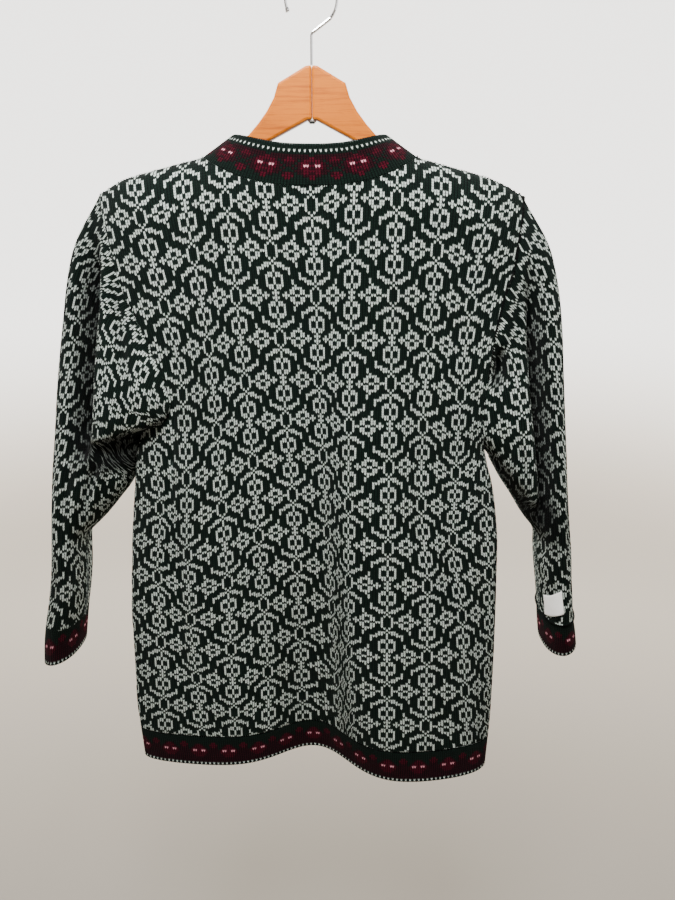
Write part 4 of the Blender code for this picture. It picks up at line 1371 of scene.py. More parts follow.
def yarn_material(name: str, fuzz: float) -> bpy.types.Material:
    """Wool yarn, coloured by the stitches' attribute, with the two legs of each stitch and painted shade in
    the grooves between legs and rows.
    """
    nodes = Nodes(Finish(name, 0.92))
    surface = nodes.surface
    surface.inputs["Specular IOR Level"].default_value = 0.05
    surface.inputs["Sheen Weight"].default_value = 0.015
    surface.inputs["Sheen Roughness"].default_value = 0.55
    layout = nodes.node("ShaderNodeUVMap", uv_map="stitches").outputs[0]
    across, along, _ = nodes.split(layout)
    leg = nodes.maths("POWER", nodes.arch(nodes.maths("MULTIPLY", across, 2.0)), 0.6)
    loop = nodes.maths("POWER", nodes.arch(along), 0.8)
    ply = nodes.maths("SINE", nodes.maths("MULTIPLY_ADD", across, 40.0, nodes.maths("MULTIPLY", along, 26.0)))
    place = nodes.coordinates("Object")
    fluff = nodes.noise(place, 2600.0, 4.0, 0.7)
    height = nodes.maths("MULTIPLY", leg, loop)
    height = nodes.maths("MULTIPLY_ADD", ply, 0.10, height)
    height = nodes.maths("MULTIPLY_ADD", fluff, fuzz, height)
    # Painted light and shade: darker in the groove between wales and in the hollows between legs and rows, a
    # little lighter on the legs' tops; fluff and noise vary the tone at random
    side = nodes.maths("ABSOLUTE", nodes.maths("SUBTRACT", nodes.maths("FRACT", across), 0.5))
    groove_shade = nodes.maths("MULTIPLY", nodes.maths("SUBTRACT", 0.41, side), 5.6)
    groove_shade = nodes.maths("MINIMUM", nodes.maths("MAXIMUM", groove_shade, 0.0), 1.0)
    shade = nodes.spread(groove_shade, 0.03, 1.0)
    shade = nodes.maths("MULTIPLY", shade, nodes.spread(leg, 0.42, 1.10))
    shade = nodes.maths("MULTIPLY", shade, nodes.spread(loop, 0.26, 1.10))
    shade = nodes.maths("MULTIPLY", shade, nodes.spread(fluff, 0.72, 1.28))
    shade = nodes.maths("MULTIPLY", shade, nodes.spread(nodes.noise(place, 9.0, 3.0), 0.88, 1.12))
    yarn = nodes.node("ShaderNodeAttribute", attribute_name="yarn").outputs["Color"]
    nodes.paint(nodes.scaled(yarn, shade), nodes.bump(height, 0.0006, 0.8))
    return nodes.material


def inside_material() -> bpy.types.Material:
    """The inside of the knitting: purl bumps with off-white floats lying across."""
    nodes = Nodes(Finish("knit inside", 0.95))
    nodes.surface.inputs["Sheen Weight"].default_value = 0.15
    layout = nodes.node("ShaderNodeUVMap", uv_map="stitches").outputs[0]
    stretch = nodes.node("ShaderNodeMapping")
    stretch.inputs["Scale"].default_value = (0.35, 1.0, 1.0)
    nodes.feed(stretch.inputs[0], layout)
    floats = nodes.noise(stretch.outputs[0], 0.9, 1.0)
    across, along, _ = nodes.split(layout)
    row, wale = nodes.arch(along), nodes.arch(across)
    colour = nodes.ramp(floats, ((0.50, (0.011, 0.024, 0.019)), (0.60, (0.24, 0.27, 0.24))))
    # Painted shade: darker between the rows of purl bumps
    colour = nodes.scaled(colour, nodes.spread(row, 0.5, 1.0))
    height = nodes.maths("MULTIPLY_ADD", wale, 0.4, row)
    nodes.paint(colour, nodes.bump(height, 0.0006, 0.8))
    return nodes.material


def wood_material(side: Side) -> bpy.types.Material:
    """Light varnished wood, its grain falling away from the mitre."""
    nodes = Nodes(Finish(f"varnished wood {side.word}", 0.42, coat=0.03))
    nodes.surface.inputs["Coat Roughness"].default_value = 0.22
    nodes.surface.inputs["Specular IOR Level"].default_value = 0.15
    place = nodes.coordinates("Object")
    turn = nodes.node("ShaderNodeMapping")
    turn.inputs["Rotation"].default_value = (0.0, math.radians(-38.0 * side.value), 0.0)
    turn.inputs["Scale"].default_value = (3.0, 60.0, 60.0)
    nodes.feed(turn.inputs[0], place)
    grain = nodes.noise(turn.outputs[0], 5.0, 5.0, 0.6)
    fine = nodes.noise(turn.outputs[0], 42.0, 3.0, 0.7)
    mix = nodes.maths("MULTIPLY_ADD", fine, 0.30, nodes.maths("MULTIPLY", grain, 0.85))
    colour = nodes.ramp(
        mix,
        ((0.36, (0.34, 0.080, 0.0010)), (0.54, (0.41, 0.102, 0.0015)), (0.74, (0.25, 0.050, 0.0006))),
    )
    # The wood is paler and less orange on sharp edges
    edge = nodes.node("ShaderNodeNewGeometry").outputs["Pointiness"]
    paler_edges = nodes.ramp(edge, ((0.49, (1.0, 1.0, 1.0)), (0.56, (1.14, 1.20, 1.35))))
    mixed = nodes.node("ShaderNodeVectorMath", operation="MULTIPLY")
    nodes.feed(mixed.inputs[0], colour)
    nodes.feed(mixed.inputs[1], paler_edges)
    nodes.paint(mixed.outputs[0], nodes.bump(mix, 0.0002, 0.25), nodes.spread(fine, 0.30, 0.48))
    return nodes.material


def metal_material(finish: Finish, colour: Colour, scale: float, depth: float) -> bpy.types.Material:
    """Bare metal with fine scratches and uneven gloss."""
    nodes = Nodes(finish)
    place = nodes.coordinates("Object")
    wear = nodes.noise(place, scale, 4.0, 0.65)
    tone = nodes.scaled(tuple(colour), nodes.spread(wear, 0.86, 1.10))
    rough = nodes.spread(wear, finish.roughness * 0.7, finish.roughness * 1.5)
    nodes.paint(tone, nodes.bump(wear, depth, 0.4), rough)
    return nodes.material


def label_material() -> bpy.types.Material:
    """Woven cream ribbon."""
    nodes = Nodes(Finish("label cloth", 0.75))
    nodes.surface.inputs["Sheen Weight"].default_value = 0.3
    layout = nodes.node("ShaderNodeUVMap", uv_map="ribbon").outputs[0]
    across, along, _ = nodes.split(layout)
    warp = nodes.maths("SINE", nodes.maths("MULTIPLY", across, 460.0))
    weft = nodes.maths("SINE", nodes.maths("MULTIPLY", along, 380.0))
    weave = nodes.maths("MULTIPLY", warp, weft)
    blotch = nodes.noise(nodes.coordinates("Object"), 160.0, 3.0)
    shade = nodes.maths("MULTIPLY", nodes.spread(weave, 0.96, 1.02), nodes.spread(blotch, 0.93, 1.05))
    nodes.paint(nodes.scaled((0.97, 0.95, 0.90), shade), nodes.bump(weave, 0.00012, 0.5))
    return nodes.material


# The floor's glow: where it fades, in y, the height over which it grows, and its share at the bottom
GLOW_REACH = (-1.5, 0.25)
GLOW_RISE = 0.95
GLOW_LOW = 0.26


def floor_material(bright: float, dim: float, floor_z: float) -> bpy.types.Material:
    """Pale glowing paint, painted light that lights the room: brighter beyond the fronts, dimmer and warmer
    low down.
    """
    nodes = Nodes(Finish("pale floor", 0.9))
    place = nodes.coordinates("Object")
    _, towards_back, up = nodes.split(place)
    shade = nodes.fade(towards_back, GLOW_REACH, (bright, dim))
    rise = nodes.fade(up, (floor_z, floor_z + GLOW_RISE), (GLOW_LOW, 1.0))
    warm = nodes.ramp(rise, ((0.3, (1.0, 0.86, 0.69)), (1.0, (1.0, 0.985, 0.95))))
    nodes.paint(nodes.scaled((0.22, 0.20, 0.17), nodes.spread(nodes.noise(place, 1.6, 3.0), 0.97, 1.03)))
    nodes.feed(nodes.surface.inputs["Emission Color"], warm)
    nodes.feed(nodes.surface.inputs["Emission Strength"], nodes.maths("MULTIPLY", shade, rise))
    return nodes.material


@dataclass
class Finishes:
    """All the materials."""

    knit: bpy.types.Material = field(default_factory=lambda: yarn_material("body yarn", 0.55))
    band: bpy.types.Material = field(default_factory=lambda: yarn_material("band yarn", 0.45))
    inside: bpy.types.Material = field(default_factory=inside_material)
    label: bpy.types.Material = field(default_factory=label_material)


@dataclass(frozen=True)
class Cut:
    """The flat cut of a piece of cloth: its width, length and area."""

    width: float
    length: float
    area: float


def make(
    finishes: Finishes,
    node: str,
    lie: StitchField,
    chart: BodyChart | BandChart,
    steps: tuple[int, int] = (8, 6),
    wall: float = WALL,
    lining: StitchField | None = None,
) -> None:
    """Knits one piece, lines it, attaches both to the root and hides the CAD node.

    Args:
        finishes: the materials.
        node: the CAD node that the piece stands for.
        lie: where its stitches lie.
        chart: the yarn of each stitch.
        steps: how many grid steps the lining takes at once, across and down.
        wall: the cloth's thickness.
        lining: where the lining lies, if not under the stitches.
    """
    body = chart is BODY_CHART
    piece = knit(f"{node}_knit", lie, chart, finishes.knit if body else finishes.band, wall)
    inside = line_inside(f"{node}_inside", lining or lie, finishes.inside, wall, steps)
    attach(piece, "root")
    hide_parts(node)
    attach(inside, "root")
    log.info("%s: %d faces", piece.name, len(piece.data.polygons))


def lay_body(
    face: Face, x: np.ndarray, z: np.ndarray, sides: tuple[float, float]
) -> tuple[np.ndarray, np.ndarray]:
    """Lays stitches on a face of the body, kept inside its panel.

    Args:
        face: the back or the front.
        x: the stitches' places across.
        z: the stitches' heights.
        sides: the panel's inner ends in x, for a front, or infinities.

    Returns:
        The points and the outward directions.
    """
    z = np.maximum(z, HEM_TOP)
    left = panel_edge(Side.LEFT, face, z) + under_sleeve(Side.LEFT, z)
    right = -panel_edge(Side.RIGHT, face, z) - under_sleeve(Side.RIGHT, z)
    x = np.clip(x, np.maximum(right, sides[0]), np.minimum(left, sides[1]))
    z = np.minimum(z, top_height(x, face))
    points = np.stack([x, body_depth(face, x, z), z], axis=-1)
    step = 0.0004
    by_x = (body_depth(face, x + step, z) - body_depth(face, x - step, z)) / (2 * step)
    by_z = (body_depth(face, x, z + step) - body_depth(face, x, z - step)) / (2 * step)
    by_x, by_z = np.clip(by_x, -6, 6), np.clip(by_z, -3, 3)
    normals = face.value * np.stack([-by_x, np.ones_like(by_x), -by_z], axis=-1)
    return points, unit(normals)


@dataclass
class Back:
    """The back panel, its stitches hung as in the folds of the real one."""

    finishes: Finishes

    def lie(self) -> StitchField:
        """Where the stitches lie."""
        wales = np.arange(BACK_WALES[0], BACK_WALES[1] + 0.75, 0.5) - 0.5
        rows = np.arange(BACK_ROWS[0], BACK_ROWS[1] + 1)
        counts = sorted(BACK_COLUMNS)
        xs = np.stack([run_on_read(rows, *self.knots(c, 1)) for c in counts])
        zs = np.stack([run_on_read(rows, *self.knots(c, 2)) for c in counts])
        x = np.empty((len(wales), len(rows)))
        z = np.empty_like(x)
        last = {Side.LEFT: -1, Side.RIGHT: 0}
        outer = {side: self.run_out(side, xs[end], zs[end]) for side, end in last.items()}
        for j in range(len(rows)):
            x[:, j] = smooth_read(wales, counts, xs[:, j])
            z[:, j] = smooth_read(wales, counts, zs[:, j])
            for side, end in last.items():
                past = side.value * (wales - counts[end])
                beyond = past > 0
                lengths, places = outer[side][0][j], outer[side][1][j]
                x[beyond, j] = np.interp(past[beyond] * STITCH, lengths, places)
        points, normals = lay_body(Face.BACK, x, z, (-math.inf, math.inf))
        return StitchField(points, normals, BACK_WALES[0], BACK_ROWS[0])

    @staticmethod
    def knots(count: int, number: int) -> tuple[list[float], list[float]]:
        """The rows and one coordinate of the rings of a column."""
        hung = BACK_COLUMNS[count]
        return [ring.row for ring in hung], [ring[number] for ring in hung]

    @staticmethod
    def run_out(side: Side, x: np.ndarray, z: np.ndarray) -> tuple[np.ndarray, np.ndarray]:
        """The lengths of cloth and places from the last column out to the side seam."""
        end = side.value * (panel_edge(side, Face.BACK, z) + 0.001)
        reach = np.where(side.value * (end - x) > 0.002, end, x + side.value * 0.002)
        share = np.sin(np.linspace(0, math.pi / 2, 80))
        places = x[:, None] + (reach - x)[:, None] * share
        depth = back_depth(places, z[:, None])
        pieces = np.hypot(np.diff(places, axis=1), np.diff(depth, axis=1))
        return running(pieces, 1), places

    def build(self) -> None:
        """Makes the panel."""
        make(self.finishes, "back", self.lie(), BODY_CHART)


@dataclass
class Front:
    """A front panel, counted in stitches out from the front band."""

    side: Side
    finishes: Finishes

    def lie(self) -> StitchField:
        """Where the stitches lie."""
        sign = self.side.value
        rows = np.arange(*FRONT_ROWS)
        z = FIRST_RING_Z - rows * ROW
        start = BAND_HALF + SEAM_GAP
        reach = np.maximum(panel_edge(self.side, Face.FRONT, z), start + 0.002) + 0.001
        share = np.sin(np.linspace(0, math.pi / 2, 160))
        out = start + (reach - start)[:, None] * share
        depth = front_depth(sign * out, z[:, None])
        pieces = np.hypot(np.diff(out, axis=1), np.diff(depth, axis=1))
        lengths = running(pieces, 1)
        count = int(math.ceil(lengths.max() / STITCH))
        wales = np.arange(0, count + 0.25, 0.5)
        x = sign * np.stack([np.interp(wales * STITCH, lengths[j], out[j]) for j in range(len(z))], axis=1)
        sides = (start, math.inf) if sign > 0 else (-math.inf, -start)
        points, normals = lay_body(Face.FRONT, x, np.broadcast_to(z, x.shape), sides)
        first = FRONT_WALE
        if self.side is Side.RIGHT:
            points, normals, first = points[::-1], normals[::-1], 1 - FRONT_WALE - count
        return StitchField(points, normals, first, FRONT_ROWS[0])

    def build(self) -> None:
        """Makes the panel."""
        word = self.side.word
        make(self.finishes, f"front_{word}", self.lie(), BODY_CHART)


@dataclass
class Sleeve:
    """A sleeve: its rows run across it, and its wales are counted from the outer edge."""

    side: Side
    finishes: Finishes

    def row_lines(self, rows: np.ndarray) -> tuple[np.ndarray, ...]:
        """Each row's start on the outer edge, its two slopes and its bend."""
        table = SLEEVE_ROWS[self.side]
        counts = [line.row for line in table]
        read = [run_on_read(rows, counts, [line[n] for line in table]) for n in range(1, 5)]
        z = read[0]
        rings = sorted(SLEEVES[self.side], key=lambda ring: ring.out_z)
        x = smooth_read(z, [ring.out_z for ring in rings], [ring.out_x for ring in rings])
        return x, z, read[1], np.maximum(read[2], LEAST_BEND), read[3]

    def inner_x(self, face: Face, z: np.ndarray) -> np.ndarray:
        """Distance out of the armhole seam, and below it of the inner edge."""
        under = ARMHOLES[self.side][-1].z
        rings = sorted(SLEEVES[self.side], key=lambda ring: ring.in_z)
        low = smooth_read(z, [ring.in_z for ring in rings], [ring.in_x for ring in rings])
        return np.where(z > under, armhole_x(self.side, face, z), low)

    def half(self, face: Face, rows: np.ndarray, reach: np.ndarray) -> np.ndarray:
        """Points of one half, at lengths of cloth from the outer edge on each row."""
        x0, z0, slope_out, bend, slope_in = (v[:, None] for v in self.row_lines(rows))
        along = np.linspace(0, WIDEST_HALF, 500)[None, :]
        climb = slope_out * np.minimum(along, bend) + slope_in * np.maximum(along - bend, 0)
        inside = (x0 - along) > self.inner_x(face, z0 + climb)
        inside[:, :2] = True
        end = along[0, np.argmin(inside, axis=1)][:, None]
        share = (1 - np.cos(np.linspace(0, math.pi, SLEEVE_SAMPLES)))[None, :] / 2
        along = end * share
        climb = slope_out * np.minimum(along, bend) + slope_in * np.maximum(along - bend, 0)
        x, z = self.side.value * (x0 - along), z0 + climb
        ring, turn = locate_on_sleeve(self.side, face, x, z)
        turn[:, 0] = 0.0
        points = sleeve_place(self.side, face, ring, turn)
        pieces = np.linalg.norm(np.diff(points, axis=1), axis=-1)
        lengths = running(pieces, 1)
        laid = np.empty((len(reach), len(rows), 3))
        for j in range(len(rows)):
            at_ring = np.interp(reach, lengths[j], ring[j])
            at_turn = np.interp(reach, lengths[j], turn[j])
            laid[:, j] = sleeve_place(self.side, face, at_ring, at_turn)
        return laid

    def lie(self) -> StitchField:
        """Where the stitches lie."""
        table = SLEEVE_ROWS[self.side]
        rows = np.arange(table[0].row, self.last_row() + 1)
        reach = np.arange(0, SLEEVE_HALF_WALES + 0.25, 0.5) * STITCH
        back = self.half(Face.BACK, rows, reach)
        front = self.half(Face.FRONT, rows, reach)
        points = np.concatenate([front[:0:-1], back])
        outward = np.zeros_like(points)
        outward[..., 1] = points[..., 1]
        outward[..., 0] = np.where(np.abs(points[..., 1]) < 0.004, self.side.value * 0.05, 0)
        normals = face_outwards(grid_normals(points), outward)
        first = -SLEEVE_HALF_WALES - SLEEVE_RING_WALE[self.side]
        # Painted shade in the folds of the back half; none on the front half
        gloom = sleeve_gloom(self.side, points[..., 0], points[..., 2])
        gloom[: len(reach) - 1] = 0
        return StitchField(points, normals, first, int(rows[0]), gloom)

    @staticmethod
    def tucked(lie: StitchField) -> StitchField:
        """The same lie with its folds filled from within, so that a coarse lining stays inside."""
        points = lie.points.copy()
        middle, reach = points.shape[0] // 2, 6
        for part, pick in ((slice(middle, None), np.min), (slice(0, middle + 1), np.max)):
            padded = np.pad(points[part, :, 1], reach, mode="edge")
            windows = np.lib.stride_tricks.sliding_window_view(padded, (2 * reach + 1, 2 * reach + 1))
            points[part, :, 1] = pick(windows, axis=(-1, -2))
        points[middle, :, 1] = lie.points[middle, :, 1]
        return StitchField(points, lie.normals)

    def last_row(self) -> int:
        """The last whole row above the cuff."""
        table = SLEEVE_ROWS[self.side]
        seam = SLEEVES[self.side][CUFF_RING].out_z
        rows = np.arange(table[0].row, table[-1].row + 30)
        z = run_on_read(rows, [line.row for line in table], [line.z for line in table])
        return int(rows[z >= seam - 0.0002][-1])

    def build(self) -> None:
        """Makes the sleeve."""
        lie, word = self.lie(), self.side.word
        make(self.finishes, f"sleeve_{word}", lie, BODY_CHART, (4, 4), lining=self.tucked(lie))


@dataclass
class Cuff:
    """A cuff band, a closed tube of whole stitches."""

    side: Side
    finishes: Finishes

    def lie(self) -> StitchField:
        """Where the stitches lie."""
        count = len(HEM_CHART.rows)
        rings = np.linspace(CUFF_RING + 0.01, LAST_RING, count + 1)
        turns = np.linspace(0, 2 * math.pi, 361)
        ring = sleeve_round(self.side, rings[None, :], turns[:, None])
        lengths = running(np.linalg.norm(np.diff(ring, axis=0), axis=-1), 0)
        around = float(lengths[-1].mean())
        wales = HEM_CHART.repeat * max(int(round(around / BAND_STITCH / HEM_CHART.repeat)), 1)
        at = spread_evenly(np.broadcast_to(turns[:, None], lengths.shape), lengths, wales)
        points = sleeve_round(self.side, rings[None, :], at)
        points[-1] = points[0]
        normals = grid_normals(points, ring=True)
        centre = points[:-1].mean(axis=0, keepdims=True)
        return StitchField(points, face_outwards(normals, points - centre), CUFF_SHIFT, 0)

    def build(self) -> None:
        """Makes the cuff."""
        word = self.side.word
        make(self.finishes, f"cuff_{word}", self.lie(), HEM_CHART, (4, 4))


@dataclass
class Hem:
    """A hem band under one panel."""

    face: Face
    side: Side | None
    finishes: Finishes

    def lie(self) -> StitchField:
        """Where the stitches lie."""
        count = len(HEM_CHART.rows)
        z = np.linspace(HEM_TOP, HEM_BOTTOM, count + 1)
        left = read_table(SECTIONS, "left", z)
        right = -read_table(SECTIONS, "right", z)
        inner = BAND_HALF + SEAM_GAP
        if self.side is Side.LEFT:
            right = np.full_like(z, inner)
        if self.side is Side.RIGHT:
            left = np.full_like(z, -inner)
        turns = np.linspace(-math.pi / 2, math.pi / 2, 600)
        share = (1 + np.sin(turns)) / 2
        x = right[None, :] + (left - right)[None, :] * share[:, None]
        depth = body_depth(self.face, x, np.broadcast_to(z, x.shape))
        pieces = np.hypot(np.diff(x, axis=0), np.diff(depth, axis=0))
        lengths = running(pieces, 0)
        wales = int(round(lengths[-1].mean() / BAND_STITCH))
        at = spread_evenly(x, lengths, wales)
        heights = np.broadcast_to(z, at.shape)
        points = np.stack([at, body_depth(self.face, at, heights), heights], axis=-1)
        normals = face_outwards(grid_normals(points), np.array((0.0, self.face.value, 0.0)))
        return StitchField(points, normals, HEM_SHIFT[self.face], 0)

    def build(self) -> None:
        """Makes the band."""
        node, above, width = "hem_band_back", "back_knit", 0.495
        if self.side is not None:
            word = self.side.word
            node, above, width = f"hem_band_{word}_front", f"front_{word}_knit", 0.240
        make(self.finishes, node, self.lie(), HEM_CHART, (8, 5))


@dataclass
class Neck:
    """The neckband, which stands up from the neck seam."""

    finishes: Finishes

    @staticmethod
    def seam() -> np.ndarray:
        """Points of the neck seam, from the right front band round the back to the left."""
        half = {side: SHOULDERS[side][0].x for side in Side}
        spread = np.linspace(0, 1, 60)
        right = -(BAND_HALF + SEAM_GAP) - (half[Side.RIGHT] - BAND_HALF - SEAM_GAP) * spread
        left = BAND_HALF + SEAM_GAP + (half[Side.LEFT] - BAND_HALF - SEAM_GAP) * spread[::-1]
        back = np.linspace(-half[Side.RIGHT], half[Side.LEFT], 160)[1:-1]
        parts = []
        for x, face in ((right, Face.FRONT), (back, Face.BACK), (left, Face.FRONT)):
            z = neck_height(x, face)
            parts.append(np.stack([x, body_depth(face, x, z), z], axis=-1))
        return np.concatenate(parts)

    @staticmethod
    def way(seam: np.ndarray) -> np.ndarray:
        """The way that the neckband stands from each point of the neck seam."""
        across = np.clip(np.abs(seam[:, 0]) / neck_half(seam[:, 0]), 0, 1)
        to_side = (across**2)[:, None]
        sign = np.where(seam[:, 0] >= 0, 1.0, -1.0)
        at_side = np.stack([-SIDE_LEAN_X * sign, 0 * sign, SIDE_LEAN_Z + 0 * sign], axis=-1)
        lean = np.where(seam[:, 1] >= 0, BACK_LEAN, FRONT_LEAN)
        upright = np.stack([-UPRIGHT_X * sign * across, lean, UPRIGHT_Z + 0 * sign], axis=-1)
        return unit(at_side * to_side + upright * (1 - to_side))

    def lie(self) -> StitchField:
        """Where the stitches lie."""
        count = len(COLLAR_CHART.rows)
        seam = self.seam()
        way = self.way(seam)
        rises = np.linspace(NECKBAND_HEIGHT, -0.0006, count + 1)
        strip = seam[:, None] + way[:, None] * rises[None, :, None]
        steps = np.linalg.norm(np.diff(strip, axis=0), axis=-1)
        lengths = running(steps, 0)
        middle = lengths[:, count // 2]
        wales = int(round(middle[-1] / COLLAR_STITCH))
        crossing = float(np.interp(0.0, strip[60:-60, count // 2, 0], middle[60:-60]))
        points = np.stack([spread_evenly(strip[..., axis], lengths, wales) for axis in range(3)], axis=-1)
        normals = grid_normals(points)
        centre = np.array([0.0, 0.0, points[..., 2].mean()])
        first = NECK_SHIFT - int(round(crossing / middle[-1] * wales))
        return StitchField(points, face_outwards(normals, points - centre), first, 0)

    def build(self) -> None:
        """Makes the neckband."""
        make(self.finishes, "neckband", self.lie(), COLLAR_CHART, (4, 4))


@dataclass
class FrontBand:
    """One of the two ribbed bands down the front."""

    node: str
    reach: tuple[float, float]
    offset: float
    wall: float
    finishes: Finishes

    def line(self) -> tuple[np.ndarray, np.ndarray]:
        """Heights and depths of the band, from the top of the neckband to the hem."""
        inner = np.array(BAND_HALF)
        seam_z = float(neck_height(inner, Face.FRONT))
        z = np.linspace(HEM_BOTTOM, seam_z, 240)
        y = front_depth(np.zeros_like(z), z)
        base = np.array([[BAND_HALF, float(front_depth(inner, np.array(seam_z))), seam_z]])
        way = Neck.way(base)[0]
        rises = np.linspace(0, NECKBAND_HEIGHT, 17)[1:]
        z = np.concatenate([z, seam_z + way[2] * rises])
        y = np.concatenate([y, base[0, 1] + way[1] * rises])
        return z[::-1], y[::-1] - self.offset

    def lie(self) -> StitchField:
        """Where the stitches lie."""
        z, y = self.line()
        wales = int(round((self.reach[1] - self.reach[0]) / RIB_STITCH))
        x = np.linspace(self.reach[0], self.reach[1], 2 * wales + 1)
        points = np.empty((len(x), len(z), 3))
        points[..., 0], points[..., 1], points[..., 2] = x[:, None], y[None, :], z[None, :]
        normals = face_outwards(grid_normals(points), np.array((0.0, -1.0, 0.0)))
        ribs = np.where(np.arange(len(x)) // 2 % 2 == 0, RIB_DEPTH, -RIB_DEPTH)
        points = points + normals * ribs[:, None, None]
        return StitchField(points, normals, 0, 0)

    def build(self) -> None:
        """Makes the band."""
        make(self.finishes, self.node, self.lie(), PLAIN_BAND_CHART, (6, 6), self.wall)


@dataclass
class Label:
    """The bare woven label sewn to the right sleeve above the cuff."""

    finishes: Finishes

    def build(self) -> None:
        """Makes the label, a thin closed leaf."""
        columns, rows = 28, 22
        turns = np.radians(np.linspace(*LABEL_ANGLES, columns + 1))
        rings = np.linspace(*LABEL_RINGS, rows + 1)
        skew = np.linspace(0, LABEL_SKEW, columns + 1)
        grid = sleeve_round(Side.RIGHT, rings[None, :] + skew[:, None], turns[:, None])
        normals = face_outwards(grid_normals(grid), np.array((0.0, 1.0, 0.0)))
        edge_x = np.minimum(np.arange(columns + 1), columns - np.arange(columns + 1))[:, None]
        edge_y = np.minimum(np.arange(rows + 1), rows - np.arange(rows + 1))[None, :]
        hem = np.exp(-np.minimum(edge_x, edge_y) / 1.2)
        pucker = 0.00022 * np.sin(np.arange(columns + 1) * 2.1)[:, None] * hem
        lift = SEAM_GAP + 0.0004 + LABEL_WALL + pucker - 0.0002 * hem
        outer = grid + normals * lift[..., None]
        mesh, column, row = grid_mesh("sleeve_label_cloth", outer)
        lay_out(mesh, "ribbon", column / columns, row / rows)
        piece = add_object("sleeve_label_cloth", mesh, self.finishes.label)
        thick = piece.modifiers.new("thickness", "SOLIDIFY")
        thick.thickness = LABEL_WALL * 0.6
        thick.offset = -1.0 if mesh.polygons[0].normal.y > 0 else 1.0
        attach(piece, "root")
        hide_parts("sleeve_label")


@dataclass
class Hardware:
    """The hanger and the buttons, which keep their CAD solids."""

    def build(self) -> None:
        """Gives the hanger and the buttons their materials."""
        nodes = frame["nodes"]
        for side in Side:
            self.paint(nodes[f"hanger_arm_{side.word}"], wood_material(side))
        chrome = metal_material(Finish("chrome", 0.10, 1.0), (0.80, 0.80, 0.82), 420.0, 0.00004)
        for name in ("hook", "hook_nut"):
            self.paint(nodes[name], chrome)
        pewter = metal_material(Finish("pewter", 0.46, 1.0), (0.20, 0.195, 0.185), 900.0, 0.0002)
        for number in range(1, 8):
            self.paint(nodes[f"button_{number}"], pewter)

    @staticmethod
    def paint(piece: bpy.types.Object, material: bpy.types.Material) -> None:
        """Puts one material on a CAD node."""
        for place in piece.material_slots:
            place.material = material


# Where the room's light fades, in the y of its directions
ROOM_REACH = (-0.45, 0.35)

# The camera that was fitted to the photograph
CAMERA_PLACE = (-0.0263, 0.7690, -0.2698)
CAMERA_TILT = 74.0
SENSOR = 36.0
FOCAL_LENGTH = 27.04


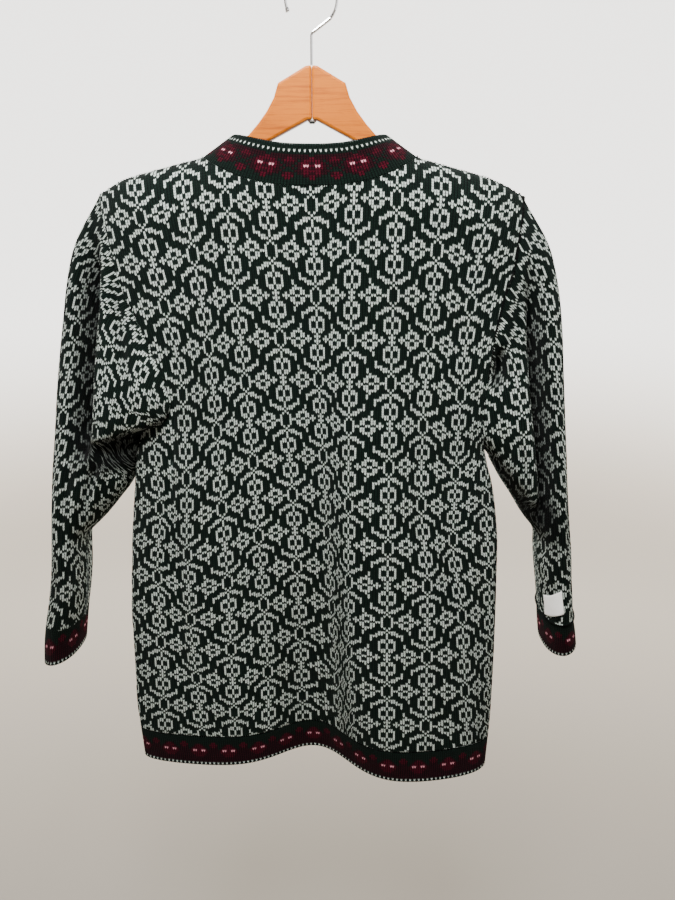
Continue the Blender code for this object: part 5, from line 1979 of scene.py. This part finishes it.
@dataclass
class Studio:
    """The camera, the lights, the floor and the pale room around."""

    floor_z: float = -1.45
    radius: float = 2.60
    sweep: float = 0.90
    bright: float = 2.90
    dim: float = 0.13

    def build(self) -> None:
        """Makes all of it."""
        self.camera()
        self.floor()
        self.surroundings()
        self.light("key", (0.10, 0.66, 0.50), (0.0, 0.0, -0.22), 0.55, 42.0, (0.98, 0.99, 1.0))
        self.light("fill", (-1.20, 1.20, 0.45), (0.0, 0.0, -0.30), 1.0, 4.0, (0.95, 0.98, 1.0))
        self.light("far side", (0.70, -1.50, 0.60), (0.0, 0.0, -0.40), 1.0, 4.0, (1.0, 0.98, 0.95))

    def surroundings(self) -> None:
        """A pale room: brighter behind the fronts, dimmer and warmer behind the camera."""
        world = bpy.data.worlds.new("studio")
        world.use_nodes = True
        tree = world.node_tree
        sky = tree.nodes["Background"]
        where = tree.nodes.new("ShaderNodeTexCoord")
        split = tree.nodes.new("ShaderNodeSeparateXYZ")
        shade = tree.nodes.new("ShaderNodeMapRange")
        shade.interpolation_type = "SMOOTHSTEP"
        names = ("From Min", "From Max", "To Min", "To Max")
        for name, number in zip(names, (*ROOM_REACH, self.bright, self.dim)):
            shade.inputs[name].default_value = number
        tree.links.new(where.outputs["Generated"], split.inputs[0])
        tree.links.new(split.outputs["Y"], shade.inputs["Value"])
        tree.links.new(shade.outputs[0], sky.inputs["Strength"])
        sky.inputs["Color"].default_value = (1.0, 0.975, 0.94, 1.0)
        bpy.context.scene.world = world

    @staticmethod
    def camera() -> None:
        """The camera, where the photograph's was."""
        lens = bpy.data.cameras.new("camera")
        lens.sensor_fit = "VERTICAL"
        lens.sensor_height = SENSOR
        lens.lens = FOCAL_LENGTH
        camera = bpy.data.objects.new("camera", lens)
        camera.location = CAMERA_PLACE
        camera.rotation_euler = (math.radians(CAMERA_TILT), 0.0, math.radians(180.0))
        bpy.context.scene.collection.objects.link(camera)
        bpy.context.scene.camera = camera

    def floor(self) -> None:
        """A plain pale floor that sweeps up into a round backdrop."""
        work = bmesh.new()
        inner = self.radius - self.sweep
        profile = [(0.0, self.floor_z)]
        for turn in np.linspace(0, math.pi / 2, 13):
            out, up = self.sweep * math.sin(turn), self.sweep * (1 - math.cos(turn))
            profile.append((inner + out, self.floor_z + up))
        profile.append((self.radius, 2.0))
        verts = [work.verts.new((out, 0.0, up)) for out, up in profile]
        edges = [work.edges.new(pair) for pair in zip(verts, verts[1:])]
        bmesh.ops.spin(
            work,
            geom=verts + edges,
            cent=(0.0, 0.0, 0.0),
            axis=(0.0, 0.0, 1.0),
            angle=2 * math.pi,
            steps=64,
            use_merge=True,
            use_duplicate=False,
        )
        bmesh.ops.remove_doubles(work, verts=work.verts, dist=MERGE)
        mesh = bpy.data.meshes.new("floor")
        work.to_mesh(mesh)
        work.free()
        add_object("floor", mesh, floor_material(self.bright, self.dim, self.floor_z))

    @staticmethod
    def light(name: str, place: Colour, aim: Colour, size: float, power: float, colour: Colour) -> None:
        """One soft square light."""
        lamp = bpy.data.lights.new(name, "AREA")
        lamp.size = size
        lamp.energy = power
        lamp.color = colour
        holder = bpy.data.objects.new(name, lamp)
        holder.location = place
        aimed = Vector(aim) - Vector(place)
        holder.rotation_euler = aimed.to_track_quat("-Z", "Y").to_euler()
        bpy.context.scene.collection.objects.link(holder)


def main() -> None:
    """Builds the looks of the whole object."""
    logging.basicConfig(level=logging.INFO, format="%(name)s: %(message)s")
    finishes = Finishes()
    Back(finishes).build()
    for side in Side:
        Front(side, finishes).build()
        Sleeve(side, finishes).build()
        Cuff(side, finishes).build()
        Hem(Face.FRONT, side, finishes).build()
    Hem(Face.BACK, None, finishes).build()
    Neck(finishes).build()
    FrontBand("button_band_left", (-BAND_HALF, BAND_HALF), 0.0, WALL, finishes).build()
    lapped = (-BAND_HALF - BAND_LAP, BAND_HALF)
    FrontBand("buttonhole_band_right", lapped, LAYER_STEP, BAND_WALL, finishes).build()
    Label(finishes).build()
    Hardware().build()
    Studio().build()
    bpy.context.view_layer.update()


if __name__ == "__main__":
    main()
